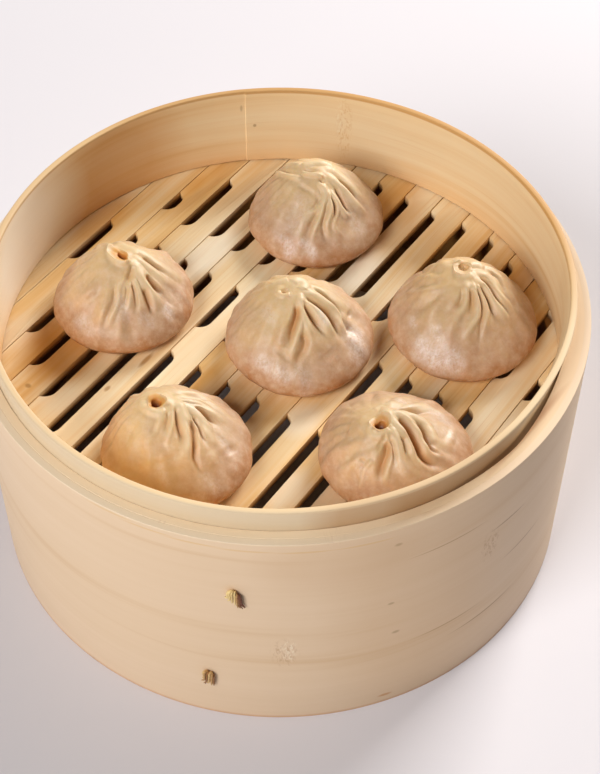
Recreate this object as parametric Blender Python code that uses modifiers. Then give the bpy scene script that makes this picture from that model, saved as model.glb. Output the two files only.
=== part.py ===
"""A bamboo steamer basket with six pleated soup dumplings resting on its slatted grate.

Metres, +Z up. The basket's axis is Z, its bottom edge is at Z = 0 and its front is towards -Y.
Run with: blender --background --python part.py
"""
import math

import bmesh
import bpy
import numpy as np

MM = 0.001

# Hoops of split bamboo, all in millimetres
OUTER_RADIUS = 100.0
OUTER_WALL = 5.0
OUTER_HEIGHT = 96.5
OUTER_TOP_ROUND = 0.8
LEDGE_INNER_ROUND = 1.3
BOTTOM_BEVEL = 0.5
GAP = 0.3
INNER_WALL = 2.1
INNER_TOP = 105.0
INNER_TOP_ROUND = 0.5
LOWER_RING_WALL = 4.0
LOWER_RING_BOTTOM = 10.5

# The inner hoop has sprung inwards at its top on the right front
SPRUNG_AT_DEG = -33.0
SPRUNG_HALF_WIDTH_DEG = 30.0
SPRUNG_BY = 2.0
SPRUNG_FROM_Z = 80.0

# Grate: slats that lie on the lower ring, with steam slots sawn into one edge of each
GRATE_TOP = 72.8
SLAT_THICKNESS = 3.0
SLAT_DIRECTION_DEG = 54.6
SLAT_END_RADIUS = 94.5
SLOT_DEPTH = 3.5
SAW_RADIUS = 4.6
SLOT_ARC_STEPS = 3
END_ARC_STEPS = 4
# Distance of each seam between slats from the basket's axis, towards the right front
SEAMS = [-84.6, -73.1, -62.5, -50.8, -40.0, -28.2, -16.5, -4.6, 7.1, 19.5, 31.4, 43.1, 54.8, 66.2, 78.5]
# Hand-sawn ends of the far slots and of the near slots, measured along the slats at each seam
FAR_SLOT_OUT = [None, 40.0, 56.0, 66.0, 74.0, 80.0, 86.0, 85.0, 84.0, 85.0, 84.0, 77.0, 66.0, 64.0, 35.0]
FAR_SLOT_IN = [None, 29.0, 26.5, 27.5, 26.0, 26.0, 29.5, 32.0, 31.0, 26.0, 27.0, 27.0, 27.0, 27.0, 24.0]
NEAR_SLOT_OUT = [None, -45.0, -55.5, -64.0, -75.0, -80.0, -84.0, -85.0, -85.0, -84.0, -80.0, -74.0,
                 -66.0, -50.0, None]
MID_SLOT_FAR = 12.4
MID_SLOT_NEAR = -10.9
NEAR_SLOT_IN = -24.0
BAR_PLACES = [20.5, -16.5]
BAR_WIDTH = 8.5
BAR_HEIGHT = 5.0

# Tufts of split cane that stitch the outer hoop together: angle round the basket and height
STITCHES = {"stitch_upper": (-98.0, 69.4), "stitch_lower": (-103.6, 22.0)}
PEG = 2.4
STRAND_RADIUS = 0.72
STRAND_LENGTH = 6.0
STRAND_SPACING = 1.15
STRAND_SIDES = 7
STRAND_PROUD = 101.15

HOOP_STEPS = 96
INNER_STEPS = 72
LOWER_STEPS = 64

# One body shape for all six dumplings: height fraction and radius fraction from the foot to the lip
BODY_HEIGHTS = [0.0, 0.08, 0.2, 0.35, 0.5, 0.65, 0.78, 0.88, 0.95, 1.0]
BODY_RADII = [0.814, 0.919, 1.0, 0.94, 0.80, 0.658, 0.492, 0.345, 0.226, 0.15]
HOLE_EDGE_DROP = 1.1
HOLE_DEPTH = 3.6
COLUMNS_PER_FOLD = 4
FOLD_TOP = 0.88
FOLD_LOW = 0.50

# Each dumpling: centre, largest radius, height, how far its crown leans, the hole's place and radius,
# then its creases as (angle near the crown, angle low on the side, depth, height fraction it fades at)
DUMPLINGS = {
    "dumpling_1": dict(
        centre=(12.8, 55.2), radius=23.9, height=25.5, lean=(-1.0, 4.4), hole=(-0.6, -0.9), hole_radius=2.2,
        creases=[(-24, -22, 1.0, .60), (-41, -48, 2.2, .62), (-57, -66, 1.6, .62), (-67, -82, 1.8, .48),
                 (-85, -101, 2.0, .45), (-105, -122, .8, .50), (-130, -143, .8, .50), (-158, -160, .9, .55),
                 (-188, -192, 1.1, .50), (-210, -218, 1.2, .50), (-235, -242, 1.2, .50), (-262, -266, 1.2, .50),
                 (-290, -292, 1.2, .50), (-320, -318, 1.1, .50), (-352, -350, .8, .55)]),
    "dumpling_2": dict(
        centre=(-52.8, 15.2), radius=23.7, height=25.3, lean=(-0.5, 1.7), hole=(-0.4, -0.4), hole_radius=2.0,
        creases=[(11, -2, 1.8, .70), (-27, -30, 2.4, .58), (-51, -55, 2.6, .48), (-62, -74, 1.4, .60),
                 (-74, -86, 1.0, .60), (-93, -101, 1.0, .42), (-112, -120, .7, .40), (-130, -138, .7, .40),
                 (-150, -156, .7, .40), (-172, -175, .8, .45), (-198, -196, 1.0, .50), (-228, -226, 1.2, .50),
                 (-258, -256, 1.2, .50), (-290, -288, 1.2, .50), (-320, -322, 1.2, .50)]),
    "dumpling_3": dict(
        centre=(6.5, -3.2), radius=24.6, height=27.0, lean=(-3.6, 2.8), hole=(-1.1, -1.0), hole_radius=1.3,
        creases=[(5, -6, 1.4, .66), (-12, -20, 1.0, .52), (-26, -36, 2.4, .55), (-56, -50, 2.4, .66),
                 (-63, -95, 1.6, .50), (-76, -118, 2.6, .62), (-102, -130, 1.0, .60), (-128, -148, .7, .50),
                 (-152, -166, .7, .50), (-175, -182, .8, .50), (-205, -208, 1.0, .50), (-235, -236, 1.2, .50),
                 (-265, -266, 1.2, .50), (-295, -296, 1.2, .50), (-325, -330, 1.2, .50)]),
    "dumpling_4": dict(
        centre=(60.6, 2.7), radius=24.8, height=26.5, lean=(-1.2, 6.1), hole=(-0.3, -0.7), hole_radius=1.9,
        creases=[(-14, -16, 1.6, .70), (-28, -37, 1.8, .55), (-58, -53, 1.7, .60), (-67, -80, 1.8, .48),
                 (-80, -92, 1.8, .66), (-94, -116, .9, .60), (-108, -142, 1.0, .60), (-134, -175, 1.0, .55),
                 (-166, -202, 1.2, .45), (-195, -232, 1.6, .50), (-222, -254, 1.3, .50), (-250, -278, 1.2, .50),
                 (-278, -302, 1.2, .50), (-308, -325, 1.2, .50), (-338, -349, 1.2, .55)]),
    "dumpling_5": dict(
        centre=(-31.8, -51.1), radius=23.6, height=25.6, lean=(-6.1, 4.2), hole=(0.0, -1.0), hole_radius=2.2,
        creases=[(7, -8, 1.8, .65), (-21, -43, 1.6, .62), (-32, -62, 2.4, .46), (-45, -84, 2.0, .62),
                 (-57, -100, 1.0, .70), (-72, -118, 1.6, .70), (-94, -136, .6, .60), (-115, -152, .6, .60),
                 (-142, -170, .6, .60), (-167, -188, .7, .55), (-195, -212, .9, .50), (-225, -238, 1.1, .50),
                 (-255, -264, 1.2, .50), (-288, -294, 1.2, .50), (-322, -328, 1.2, .50)]),
    "dumpling_6": dict(
        centre=(35.9, -51.5), radius=24.2, height=25.5, lean=(-6.4, -4.8), hole=(0.0, -0.8), hole_radius=1.6,
        creases=[(32, 38, 1.6, .60), (4, -22, 2.2, .50), (-16, -50, 3.0, .60), (-47, -68, 1.0, .70),
                 (-66, -92, .9, .62), (-80, -106, 1.6, .52), (-98, -124, 1.2, .45), (-118, -141, .7, .50),
                 (-140, -158, .6, .50), (-162, -178, .8, .55), (-188, -202, .9, .50), (-218, -230, 1.1, .50),
                 (-248, -256, 1.2, .50), (-276, -282, 1.2, .50), (-302, -302, 1.2, .50)]),
}

# Surface colours from the photograph, as sRGB hex, with roughness
COLOURS = {
    "hoop_bamboo": ("D9BE97", 0.55),
    "inner_bamboo": ("D8B27C", 0.55),
    "grate_bamboo": ("DDB878", 0.60),
    "under_bamboo": ("B98F58", 0.65),
    "split_cane": ("C79A5E", 0.60),
    "steamed_dough": ("D3C3B2", 0.38),
}


def clear_scene():
    for thing in list(bpy.data.objects):
        bpy.data.objects.remove(thing, do_unlink=True)


def collection(name, hidden=False):
    group = bpy.data.collections.new(name)
    bpy.context.scene.collection.children.link(group)
    group.hide_render = hidden
    return group


def linear(hex_colour):
    """sRGB hex to the linear values that shaders work in."""
    channels = [int(hex_colour[i:i + 2], 16) / 255 for i in (0, 2, 4)]
    return tuple(c / 12.92 if c <= 0.04045 else ((c + 0.055) / 1.055) ** 2.4 for c in channels) + (1.0,)


def material(name):
    """One Principled material of each kind, made the first time it is asked for."""
    if name in bpy.data.materials:
        return bpy.data.materials[name]
    colour, roughness = COLOURS[name]
    made = bpy.data.materials.new(name)
    made.use_nodes = True
    shader = made.node_tree.nodes["Principled BSDF"]
    shader.inputs["Base Color"].default_value = linear(colour)
    shader.inputs["Roughness"].default_value = roughness
    shader.inputs["Metallic"].default_value = 0.0
    return made


def add_mesh(name, mesh_builder, group, slot):
    """Turn a bmesh into a named object with its material."""
    mesh = bpy.data.meshes.new(name)
    mesh_builder.to_mesh(mesh)
    mesh_builder.free()
    thing = bpy.data.objects.new(name, mesh)
    group.objects.link(thing)
    if slot:
        mesh.materials.append(material(slot))
    return thing


def shade_round(thing, angle_deg=35.0):
    thing.data.shade_smooth()
    thing.data.set_sharp_from_angle(angle=math.radians(angle_deg))


def cutter_look(thing):
    thing.hide_render = True
    thing.display_type = "WIRE"


# Hoops

def turned_hoop(name, profile, steps, group, slot):
    """A closed profile at +X, as (radius, height) in mm, turned once round Z."""
    shape = bmesh.new()
    corners = [shape.verts.new((radius * MM, 0.0, height * MM)) for radius, height in profile]
    for first, second in zip(corners, corners[1:] + corners[:1]):
        shape.edges.new((first, second))
    hoop = add_mesh(name, shape, group, slot)
    screw = hoop.modifiers.new("turn", "SCREW")
    screw.axis = "Z"
    screw.angle = math.tau
    screw.steps = steps
    screw.render_steps = steps
    screw.use_merge_vertices = True
    screw.merge_threshold = 0.00001
    return hoop


def apply_modifiers(thing):
    """Replace an object's mesh by what its modifiers make of it."""
    graph = bpy.context.evaluated_depsgraph_get()
    graph.update()
    result = bpy.data.meshes.new_from_object(thing.evaluated_get(graph))
    thing.modifiers.clear()
    thing.data = result


def make_outer_hoop(group):
    """Wide outer hoop with a rounded top edge; its top is the ledge that a lid stands on."""
    inside = OUTER_RADIUS - OUTER_WALL
    profile = [
        (OUTER_RADIUS - OUTER_TOP_ROUND, OUTER_HEIGHT),
        (OUTER_RADIUS, OUTER_HEIGHT - OUTER_TOP_ROUND),
        (OUTER_RADIUS, BOTTOM_BEVEL),
        (OUTER_RADIUS - BOTTOM_BEVEL, 0.0),
        (inside, 0.0),
        (inside, OUTER_HEIGHT - LEDGE_INNER_ROUND),
        (inside + LEDGE_INNER_ROUND, OUTER_HEIGHT),
    ]
    return turned_hoop("outer_hoop", profile, HOOP_STEPS, group, "hoop_bamboo")


def make_inner_hoop(group):
    """Thin hoop inside the outer one, standing on the slats and rising above the ledge."""
    outside = OUTER_RADIUS - OUTER_WALL - GAP
    inside = outside - INNER_WALL
    foot = GRATE_TOP + GAP
    profile = [
        (outside - INNER_TOP_ROUND, INNER_TOP),
        (outside, INNER_TOP - INNER_TOP_ROUND),
        (outside, SPRUNG_FROM_Z),
        (outside, foot),
        (inside, foot),
        (inside, SPRUNG_FROM_Z),
        (inside, INNER_TOP - INNER_TOP_ROUND),
        (inside + INNER_TOP_ROUND, INNER_TOP),
    ]
    hoop = turned_hoop("inner_hoop", profile, INNER_STEPS, group, "inner_bamboo")
    apply_modifiers(hoop)
    for corner in hoop.data.vertices:
        corner.co = sprung_inwards(corner.co)
    return hoop


def sprung_inwards(point):
    """Pull a point of the inner hoop towards the axis, most at the top and at the right front."""
    angle = math.degrees(math.atan2(point.y, point.x))
    across = (angle - SPRUNG_AT_DEG + 180.0) % 360.0 - 180.0
    if abs(across) > SPRUNG_HALF_WIDTH_DEG or point.z < SPRUNG_FROM_Z * MM:
        return point
    side = 0.5 + 0.5 * math.cos(math.pi * across / SPRUNG_HALF_WIDTH_DEG)
    rise = (point.z / MM - SPRUNG_FROM_Z) / (INNER_TOP - SPRUNG_FROM_Z)
    radius = math.hypot(point.x, point.y)
    shrink = 1.0 - SPRUNG_BY * MM * side * rise / radius
    return (point.x * shrink, point.y * shrink, point.z)


def make_lower_ring(group):
    """Ring low inside the outer hoop that carries the slats' ends."""
    outside = OUTER_RADIUS - OUTER_WALL - GAP
    inside = outside - LOWER_RING_WALL
    top = GRATE_TOP - SLAT_THICKNESS - GAP
    profile = [(outside, top), (outside, LOWER_RING_BOTTOM), (inside, LOWER_RING_BOTTOM), (inside, top)]
    return turned_hoop("lower_ring", profile, LOWER_STEPS, group, "under_bamboo")


# Grate

def grate_point(along, across):
    """World X and Y in mm of a place given along the slats and across them towards the right front."""
    turn = math.radians(SLAT_DIRECTION_DEG)
    return (along * math.cos(turn) + across * math.sin(turn), along * math.sin(turn) - across * math.cos(turn))


def half_length(across):
    """How far a slat reaches along itself before it meets its end circle."""
    return math.sqrt(max(SLAT_END_RADIUS ** 2 - across ** 2, 0.0))


def slots_at(seam):
    """The slots sawn at one seam, as (near end, far end) along the slats, from near to far."""
    tilt = SEAMS[seam] / OUTER_RADIUS
    slots = []
    if NEAR_SLOT_OUT[seam] is not None:
        slots.append((NEAR_SLOT_OUT[seam], NEAR_SLOT_IN - 1.2 * tilt))
    if seam < len(SEAMS) - 1:
        slots.append((MID_SLOT_NEAR - 1.2 * tilt, MID_SLOT_FAR - 1.9 * tilt))
    if FAR_SLOT_OUT[seam] is not None:
        slots.append((FAR_SLOT_IN[seam], FAR_SLOT_OUT[seam]))
    return slots


def slot_outline(near, far, edge):
    """Points of one slot cut into a straight edge: an arc of the saw at both ends."""
    reach = math.sqrt(SAW_RADIUS ** 2 - (SAW_RADIUS - SLOT_DEPTH) ** 2)
    start = math.asin((SAW_RADIUS - SLOT_DEPTH) / SAW_RADIUS)
    points = []
    for step in range(SLOT_ARC_STEPS + 1):
        turn = start + (math.pi / 2 - start) * step / SLOT_ARC_STEPS
        depth = SAW_RADIUS * math.sin(turn) - (SAW_RADIUS - SLOT_DEPTH)
        points.append((near + reach - SAW_RADIUS * math.cos(turn), edge + depth))
    back = [(near + far - along, across) for along, across in reversed(points)]
    if back[0][0] - points[-1][0] < 0.5:
        middle = (near + far) / 2
        points = [p for p in points if p[0] < middle - 0.1]
        back = [p for p in back if p[0] > middle + 0.1]
    return points + back


def end_arc(start_across, end_across, side):
    """Points between two places across the slat on the end circle, at its far (+1) or near (-1) end."""
    first = math.asin(max(-1.0, min(1.0, start_across / SLAT_END_RADIUS)))
    last = math.asin(max(-1.0, min(1.0, end_across / SLAT_END_RADIUS)))
    turns = [first + (last - first) * step / END_ARC_STEPS for step in range(END_ARC_STEPS + 1)]
    return [(side * SLAT_END_RADIUS * math.cos(turn), SLAT_END_RADIUS * math.sin(turn)) for turn in turns]


def slat_outline(number):
    """Outline of one slat as (along, across) points, going round once."""
    half_gap = GAP / 2
    low = SEAMS[number - 1] + half_gap if number > 0 else -SLAT_END_RADIUS
    high = SEAMS[number] - half_gap if number < len(SEAMS) else SLAT_END_RADIUS
    points = []
    if number > 0:
        for near, far in slots_at(number - 1):
            points += slot_outline(near, far, low)
    points += end_arc(low, high, 1.0)
    points += end_arc(high, low, -1.0)
    kept = [points[0]]
    for point in points[1:]:
        if math.dist(point, kept[-1]) > 0.05:
            kept.append(point)
    if math.dist(kept[0], kept[-1]) < 0.05:
        kept.pop()
    return kept


def make_slat(number, group):
    """A flat slat: its outline as a filled 2D curve, given its thickness by extrusion."""
    name = f"grate_slat_{number + 1:02d}"
    outline = bpy.data.curves.new(name, "CURVE")
    outline.dimensions = "2D"
    outline.fill_mode = "BOTH"
    outline.extrude = SLAT_THICKNESS / 2 * MM
    points = slat_outline(number)
    line = outline.splines.new("POLY")
    line.points.add(len(points) - 1)
    for spot, (along, across) in zip(line.points, points):
        x, y = grate_point(along, across)
        spot.co = (x * MM, y * MM, 0.0, 1.0)
    line.use_cyclic_u = True
    slat = bpy.data.objects.new(name, outline)
    slat.location.z = (GRATE_TOP - SLAT_THICKNESS / 2) * MM
    outline.materials.append(material("grate_bamboo"))
    group.objects.link(slat)
    return slat


def make_cross_bar(number, group):
    """Square bar under the slats, across them, inside the lower ring."""
    along = BAR_PLACES[number]
    reach_inside = OUTER_RADIUS - OUTER_WALL - GAP - LOWER_RING_WALL - GAP
    farthest = abs(along) + BAR_WIDTH / 2
    length = 2 * math.sqrt(reach_inside ** 2 - farthest ** 2) - GAP
    top = GRATE_TOP - SLAT_THICKNESS - GAP
    bpy.ops.mesh.primitive_cube_add(size=1.0)
    bar = bpy.context.object
    bar.name = f"cross_bar_{number + 1}"
    for corner in bar.data.vertices:
        corner.co.x *= BAR_WIDTH * MM
        corner.co.y *= length * MM
        corner.co.z *= BAR_HEIGHT * MM
    x, y = grate_point(along, 0.0)
    bar.location = (x * MM, y * MM, (top - BAR_HEIGHT / 2) * MM)
    bar.rotation_euler.z = math.radians(SLAT_DIRECTION_DEG)
    bar.data.materials.append(material("under_bamboo"))
    for owner in list(bar.users_collection):
        owner.objects.unlink(bar)
    group.objects.link(bar)
    return bar


# Cane stitches

def place_on_wall(thing, angle_deg, radius, height):
    """Put an object on the wall with its own X pointing outwards."""
    turn = math.radians(angle_deg)
    thing.location = (radius * math.cos(turn) * MM, radius * math.sin(turn) * MM, height * MM)
    thing.rotation_euler.z = turn


def box(name, size, group, slot):
    shape = bmesh.new()
    bmesh.ops.create_cube(shape, size=1.0)
    bmesh.ops.scale(shape, vec=[length * MM for length in size], verts=shape.verts)
    return add_mesh(name, shape, group, slot)


def make_stitch(name, angle_deg, height, hoop, group, cutters):
    """A peg through the outer hoop whose strands are bent down over the wall outside."""
    inner_end = OUTER_RADIUS - OUTER_WALL + GAP
    outer_end = STRAND_PROUD
    middle = (inner_end + outer_end) / 2
    hole = box(f"{name}_hole", (4 * OUTER_WALL, PEG + 2 * GAP, PEG + 2 * GAP), cutters, None)
    place_on_wall(hole, angle_deg, middle, height)
    cutter_look(hole)
    cut = hoop.modifiers.new(f"{name}_hole", "BOOLEAN")
    cut.operation = "DIFFERENCE"
    cut.solver = "EXACT"
    cut.object = hole

    peg = box(name, (outer_end - inner_end, PEG, PEG), group, "split_cane")
    place_on_wall(peg, angle_deg, middle, height)
    strands = bpy.data.collections.new(f"{name}_strands")
    cutters.children.link(strands)
    for number in (-1, 0, 1):
        shape = bmesh.new()
        bmesh.ops.create_cone(shape, cap_ends=True, segments=STRAND_SIDES, radius1=STRAND_RADIUS * 0.75 * MM,
                              radius2=STRAND_RADIUS * MM, depth=STRAND_LENGTH * MM)
        strand = add_mesh(f"{name}_strand_{number + 2}", shape, strands, None)
        turn = math.radians(angle_deg)
        sideways = number * STRAND_SPACING
        drop = STRAND_LENGTH / 2 - PEG / 2 + 0.35 * abs(number)
        strand.location = ((STRAND_PROUD * math.cos(turn) - sideways * math.sin(turn)) * MM,
                           (STRAND_PROUD * math.sin(turn) + sideways * math.cos(turn)) * MM,
                           (height - drop) * MM)
        strand.rotation_euler.z = turn
        cutter_look(strand)
    join = peg.modifiers.new("strands", "BOOLEAN")
    join.operation = "UNION"
    join.solver = "EXACT"
    join.operand_type = "COLLECTION"
    join.collection = strands
    return peg


# Dumplings

def ramp(value, low, high):
    """Smooth step from 0 at low to 1 at high."""
    share = min(1.0, max(0.0, (value - low) / (high - low)))
    return share * share * (3.0 - 2.0 * share)


def crease_angle(crease, height):
    """Angle of a crease in degrees at a height fraction, as it swirls down from the crown."""
    share = min(1.0, max(0.0, (FOLD_TOP - height) / (FOLD_TOP - FOLD_LOW)))
    return crease[0] + (crease[1] - crease[0]) * share


def crease_depth(crease, height):
    """Depth in mm of a crease at a height fraction: nothing at the lip, nothing below its end."""
    top, low, depth, end = crease
    return depth * ramp(1.0 - height, 0.01, 0.11) * ramp(height, end - 0.12, end + 0.12)


def fold_angle_and_depth(creases, place, height):
    """Angle in degrees and depth in mm where place counts folds round the crown from the first crease."""
    number = int(place) % len(creases)
    share = place - int(place)
    first = creases[number]
    second = creases[(number + 1) % len(creases)]
    start = crease_angle(first, height)
    width = (crease_angle(second, height) - start) % -360.0
    crest = 1.0 - (2.0 * share - 1.0) ** 2
    depth = (1.0 - share) * crease_depth(first, height) + share * crease_depth(second, height)
    return start + width * share, depth * (1.0 - crest)


def body_normal(radius, height_mm, height):
    """Outward direction (radial, up) of the plain body at a height fraction."""
    step = 0.03
    low, high = max(0.0, height - step), min(1.0, height + step)
    run = radius * (np.interp(high, BODY_HEIGHTS, BODY_RADII) - np.interp(low, BODY_HEIGHTS, BODY_RADII))
    rise = height_mm * (high - low)
    length = math.hypot(run, rise)
    return rise / length, -run / length


def dough_point(dumpling, place, ring):
    """Point in mm, from the middle of the foot, for a fold place and a ring number from the foot up."""
    height = BODY_HEIGHTS[ring]
    angle, depth = fold_angle_and_depth(dumpling["creases"], place, height)
    radial, up = body_normal(dumpling["radius"], dumpling["height"], height)
    radius = dumpling["radius"] * BODY_RADII[ring] - depth * radial
    turn = math.radians(angle)
    lean = height ** 1.5
    return (dumpling["lean"][0] * lean + radius * math.cos(turn),
            dumpling["lean"][1] * lean + radius * math.sin(turn),
            dumpling["height"] * height - depth * up)


def hole_point(dumpling, place):
    """Point on the edge of the little hole inside the crown's lip."""
    angle = fold_angle_and_depth(dumpling["creases"], place, 1.0)[0]
    turn = math.radians(angle)
    return (dumpling["lean"][0] + dumpling["hole"][0] + dumpling["hole_radius"] * math.cos(turn),
            dumpling["lean"][1] + dumpling["hole"][1] + dumpling["hole_radius"] * math.sin(turn),
            dumpling["height"] - HOLE_EDGE_DROP)


def make_dumpling(name, dumpling, group):
    """A sphere's rings moved to the dough's rings: foot, belly, folds, lip and the hole in the crown."""
    columns = len(dumpling["creases"]) * COLUMNS_PER_FOLD
    rings = len(BODY_HEIGHTS) + 1
    shape = bmesh.new()
    bmesh.ops.create_uvsphere(shape, u_segments=columns, v_segments=rings + 1, radius=1.0)
    centre_x, centre_y = dumpling["centre"]
    foot = GRATE_TOP + GAP
    for corner in shape.verts:
        ring = round((rings + 1) * (0.5 + math.asin(max(-1.0, min(1.0, corner.co.z))) / math.pi)) - 1
        column = round(-math.atan2(corner.co.y, corner.co.x) / math.tau * columns) % columns
        place = column / COLUMNS_PER_FOLD
        if ring < 0:
            point = (0.0, 0.0, 0.0)
        elif ring < len(BODY_HEIGHTS):
            point = dough_point(dumpling, place, ring)
        elif ring == len(BODY_HEIGHTS):
            point = hole_point(dumpling, place)
        else:
            point = (dumpling["lean"][0] + dumpling["hole"][0], dumpling["lean"][1] + dumpling["hole"][1],
                     dumpling["height"] - HOLE_DEPTH)
        corner.co = ((centre_x + point[0]) * MM, (centre_y + point[1]) * MM, (foot + point[2]) * MM)
    bmesh.ops.triangulate(shape, faces=shape.faces, quad_method="SHORT_EDGE")
    made = add_mesh(name, shape, group, "steamed_dough")
    shade_round(made, 60.0)
    return made


def main():
    clear_scene()
    basket = collection("steamer_of_soup_dumplings")
    cutters = collection("cutters", hidden=True)
    outer = make_outer_hoop(basket)
    inner = make_inner_hoop(basket)
    lower = make_lower_ring(basket)
    for number in range(len(SEAMS) + 1):
        make_slat(number, basket)
    for number in range(len(BAR_PLACES)):
        make_cross_bar(number, basket)
    for name, (angle, height) in STITCHES.items():
        make_stitch(name, angle, height, outer, basket, cutters)
    for name, dumpling in DUMPLINGS.items():
        make_dumpling(name, dumpling, basket)
    for hoop in (outer, inner, lower):
        shade_round(hoop)


main()
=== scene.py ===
# %% [markdown]
# # A bamboo steamer basket with six soup dumplings
#
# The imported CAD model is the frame: it says where every hoop, slat and dumpling is. This script dresses it.
# Each visible piece is modelled again, finer, in the place of its CAD node, and gets a procedural material.
# Lengths are in metres. Z is up, the basket's axis is the Z axis and the front is towards -Y.

import math

import bpy
import numpy as np
from mathutils import Matrix, Vector, noise


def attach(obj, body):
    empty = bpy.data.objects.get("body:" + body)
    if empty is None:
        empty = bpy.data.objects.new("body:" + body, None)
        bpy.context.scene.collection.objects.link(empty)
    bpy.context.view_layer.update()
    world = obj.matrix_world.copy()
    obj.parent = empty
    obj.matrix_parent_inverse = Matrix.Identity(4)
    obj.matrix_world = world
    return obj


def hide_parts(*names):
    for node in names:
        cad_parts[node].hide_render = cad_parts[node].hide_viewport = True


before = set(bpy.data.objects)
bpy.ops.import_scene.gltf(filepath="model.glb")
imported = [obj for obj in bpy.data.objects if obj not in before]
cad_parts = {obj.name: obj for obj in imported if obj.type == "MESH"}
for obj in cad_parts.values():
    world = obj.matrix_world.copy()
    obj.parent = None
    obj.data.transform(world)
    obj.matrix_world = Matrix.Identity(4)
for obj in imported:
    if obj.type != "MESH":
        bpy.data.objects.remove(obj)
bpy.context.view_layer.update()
print("frame nodes:", len(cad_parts))

# %% [markdown]
# ## Camera
#
# The camera was worked out from the photograph: the hoops are circles, so the ellipses that they draw give
# the height of the eye, its distance and the lens. It stands in front of the basket, 52 degrees above the
# floor. From looking at the middle of the basket's foot it is tilted up by three degrees, and turned and
# rolled by less than one, which no hand-held or tripod shot quite avoids.

# %% Place the camera
MM = 0.001
IMAGE_WIDTH, IMAGE_HEIGHT = 600, 774
CAMERA_ELEVATION = math.radians(52.03)
CAMERA_DISTANCE = 592.3 * MM
FOCAL_LENGTH_PIXELS = 1606.5
CAMERA_YAW = math.radians(-0.674)
CAMERA_PITCH = math.radians(3.189)
CAMERA_ROLL = math.radians(0.391)
SENSOR = 36.0


def camera_matrix():
    """World matrix of the camera: orbit to the place, then turn about its own up, right and view axes."""
    place = Vector((0.0, -math.cos(CAMERA_ELEVATION), math.sin(CAMERA_ELEVATION))) * CAMERA_DISTANCE
    ahead = -place.normalized()
    right = ahead.cross(Vector((0.0, 0.0, 1.0))).normalized()
    up = right.cross(ahead)
    turn = Matrix.Rotation(CAMERA_YAW, 3, up)
    ahead, right = turn @ ahead, turn @ right
    turn = Matrix.Rotation(CAMERA_PITCH, 3, right)
    ahead, up = turn @ ahead, turn @ up
    turn = Matrix.Rotation(CAMERA_ROLL, 3, ahead)
    right, up = turn @ right, turn @ up
    matrix = Matrix((right, up, -ahead)).transposed().to_4x4()
    matrix.translation = place
    return matrix


bpy.ops.object.camera_add()
camera = bpy.context.object
camera.matrix_world = camera_matrix()
camera.data.sensor_width = SENSOR
camera.data.lens = SENSOR * FOCAL_LENGTH_PIXELS / max(IMAGE_WIDTH, IMAGE_HEIGHT)
bpy.context.scene.camera = camera
print("lens in mm:", round(camera.data.lens, 2))

# %% [markdown]
# ## Materials: shared helpers
#
# Colours are picked as sRGB hex values, the way a paint chart gives them, and a shader needs them linear.
# One small function adds a node, sets its values and links its inputs, so a material reads as a list of
# nodes.

# %% Helpers for materials


def linear(hex_colour):
    """sRGB hex to linear RGBA."""
    channels = [int(hex_colour[i:i + 2], 16) / 255 for i in (0, 2, 4)]
    return tuple(c / 12.92 if c <= 0.04045 else ((c + 0.055) / 1.055) ** 2.4 for c in channels) + (1.0,)


def new_material(name):
    """A material with its node tree and its Principled shader."""
    made = bpy.data.materials.new(name)
    made.use_nodes = True
    return made, made.node_tree, made.node_tree.nodes["Principled BSDF"]


def add(tree, kind, settings=None, links=None):
    """Add a node; settings are properties, sockets or ramp stops, links join sockets to outputs."""
    node = tree.nodes.new(kind)
    for key, value in (settings or {}).items():
        if key == "stops":
            ramp = node.color_ramp
            while len(ramp.elements) < len(value):
                ramp.elements.new(0.5)
            for element, (position, colour) in zip(ramp.elements, value):
                element.position = position
                element.color = linear(colour) if isinstance(colour, str) else (colour,) * 3 + (1.0,)
        elif isinstance(key, int) or key in node.inputs:
            node.inputs[key].default_value = value
        else:
            setattr(node, key, value)
    for key, source in (links or {}).items():
        tree.links.new(source, node.inputs[key])
    return node


# %% [markdown]
# ## Floor and light
#
# The basket stands on a pale lilac-grey sheet between two softboxes. One at the back right throws its
# shadow forwards and lights the left inner wall, the other at the front left lights the outer wall, and
# where neither reaches, at the right front and along the back, the wood turns darker and warmer.

# %% Lay the floor and hang the lamps
bpy.ops.mesh.primitive_plane_add(size=6.0, location=(0.0, 0.0, 0.0))
floor = bpy.context.object
floor.name = "floor"

floor_material, tree, shader = new_material("matt_paper_sweep")
shader.inputs["Base Color"].default_value = linear("DAD5D8")
shader.inputs["Roughness"].default_value = 0.8
floor.data.materials.append(floor_material)

world = bpy.data.worlds.new("studio")
world.use_nodes = True
world.node_tree.nodes["Background"].inputs["Color"].default_value = linear("F4F2F8")
world.node_tree.nodes["Background"].inputs["Strength"].default_value = 0.03
bpy.context.scene.world = world


def add_lamp(name, azimuth_deg, elevation_deg, distance, size, watts, colour):
    """A square area lamp in a direction from the basket, aimed at it."""
    flat = math.cos(math.radians(elevation_deg))
    place = Vector((math.cos(math.radians(azimuth_deg)) * flat, math.sin(math.radians(azimuth_deg)) * flat,
                    math.sin(math.radians(elevation_deg)))) * distance
    bpy.ops.object.light_add(type="AREA", location=place)
    lamp = bpy.context.object
    lamp.name = name
    lamp.data.energy = watts
    lamp.data.size = size
    lamp.data.color = linear(colour)[:3]
    lamp.rotation_euler = (-place).to_track_quat("-Z", "Y").to_euler()
    return lamp


add_lamp("back_right_softbox", 54.0, 32.0, 2.0, 0.92, 55.2, "FFFDFA")
add_lamp("front_left_softbox", 230.0, 40.0, 2.0, 0.92, 34.0, "FFFFFF")
bpy.context.scene.view_settings.view_transform = "Standard"

# %% [markdown]
# ## Helpers for modelling
#
# Each piece starts as a primitive and is shaped in edit mode. An operator acts on all that is selected, so
# the scene is deselected first, and faces or edges are then selected by their place.

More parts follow.
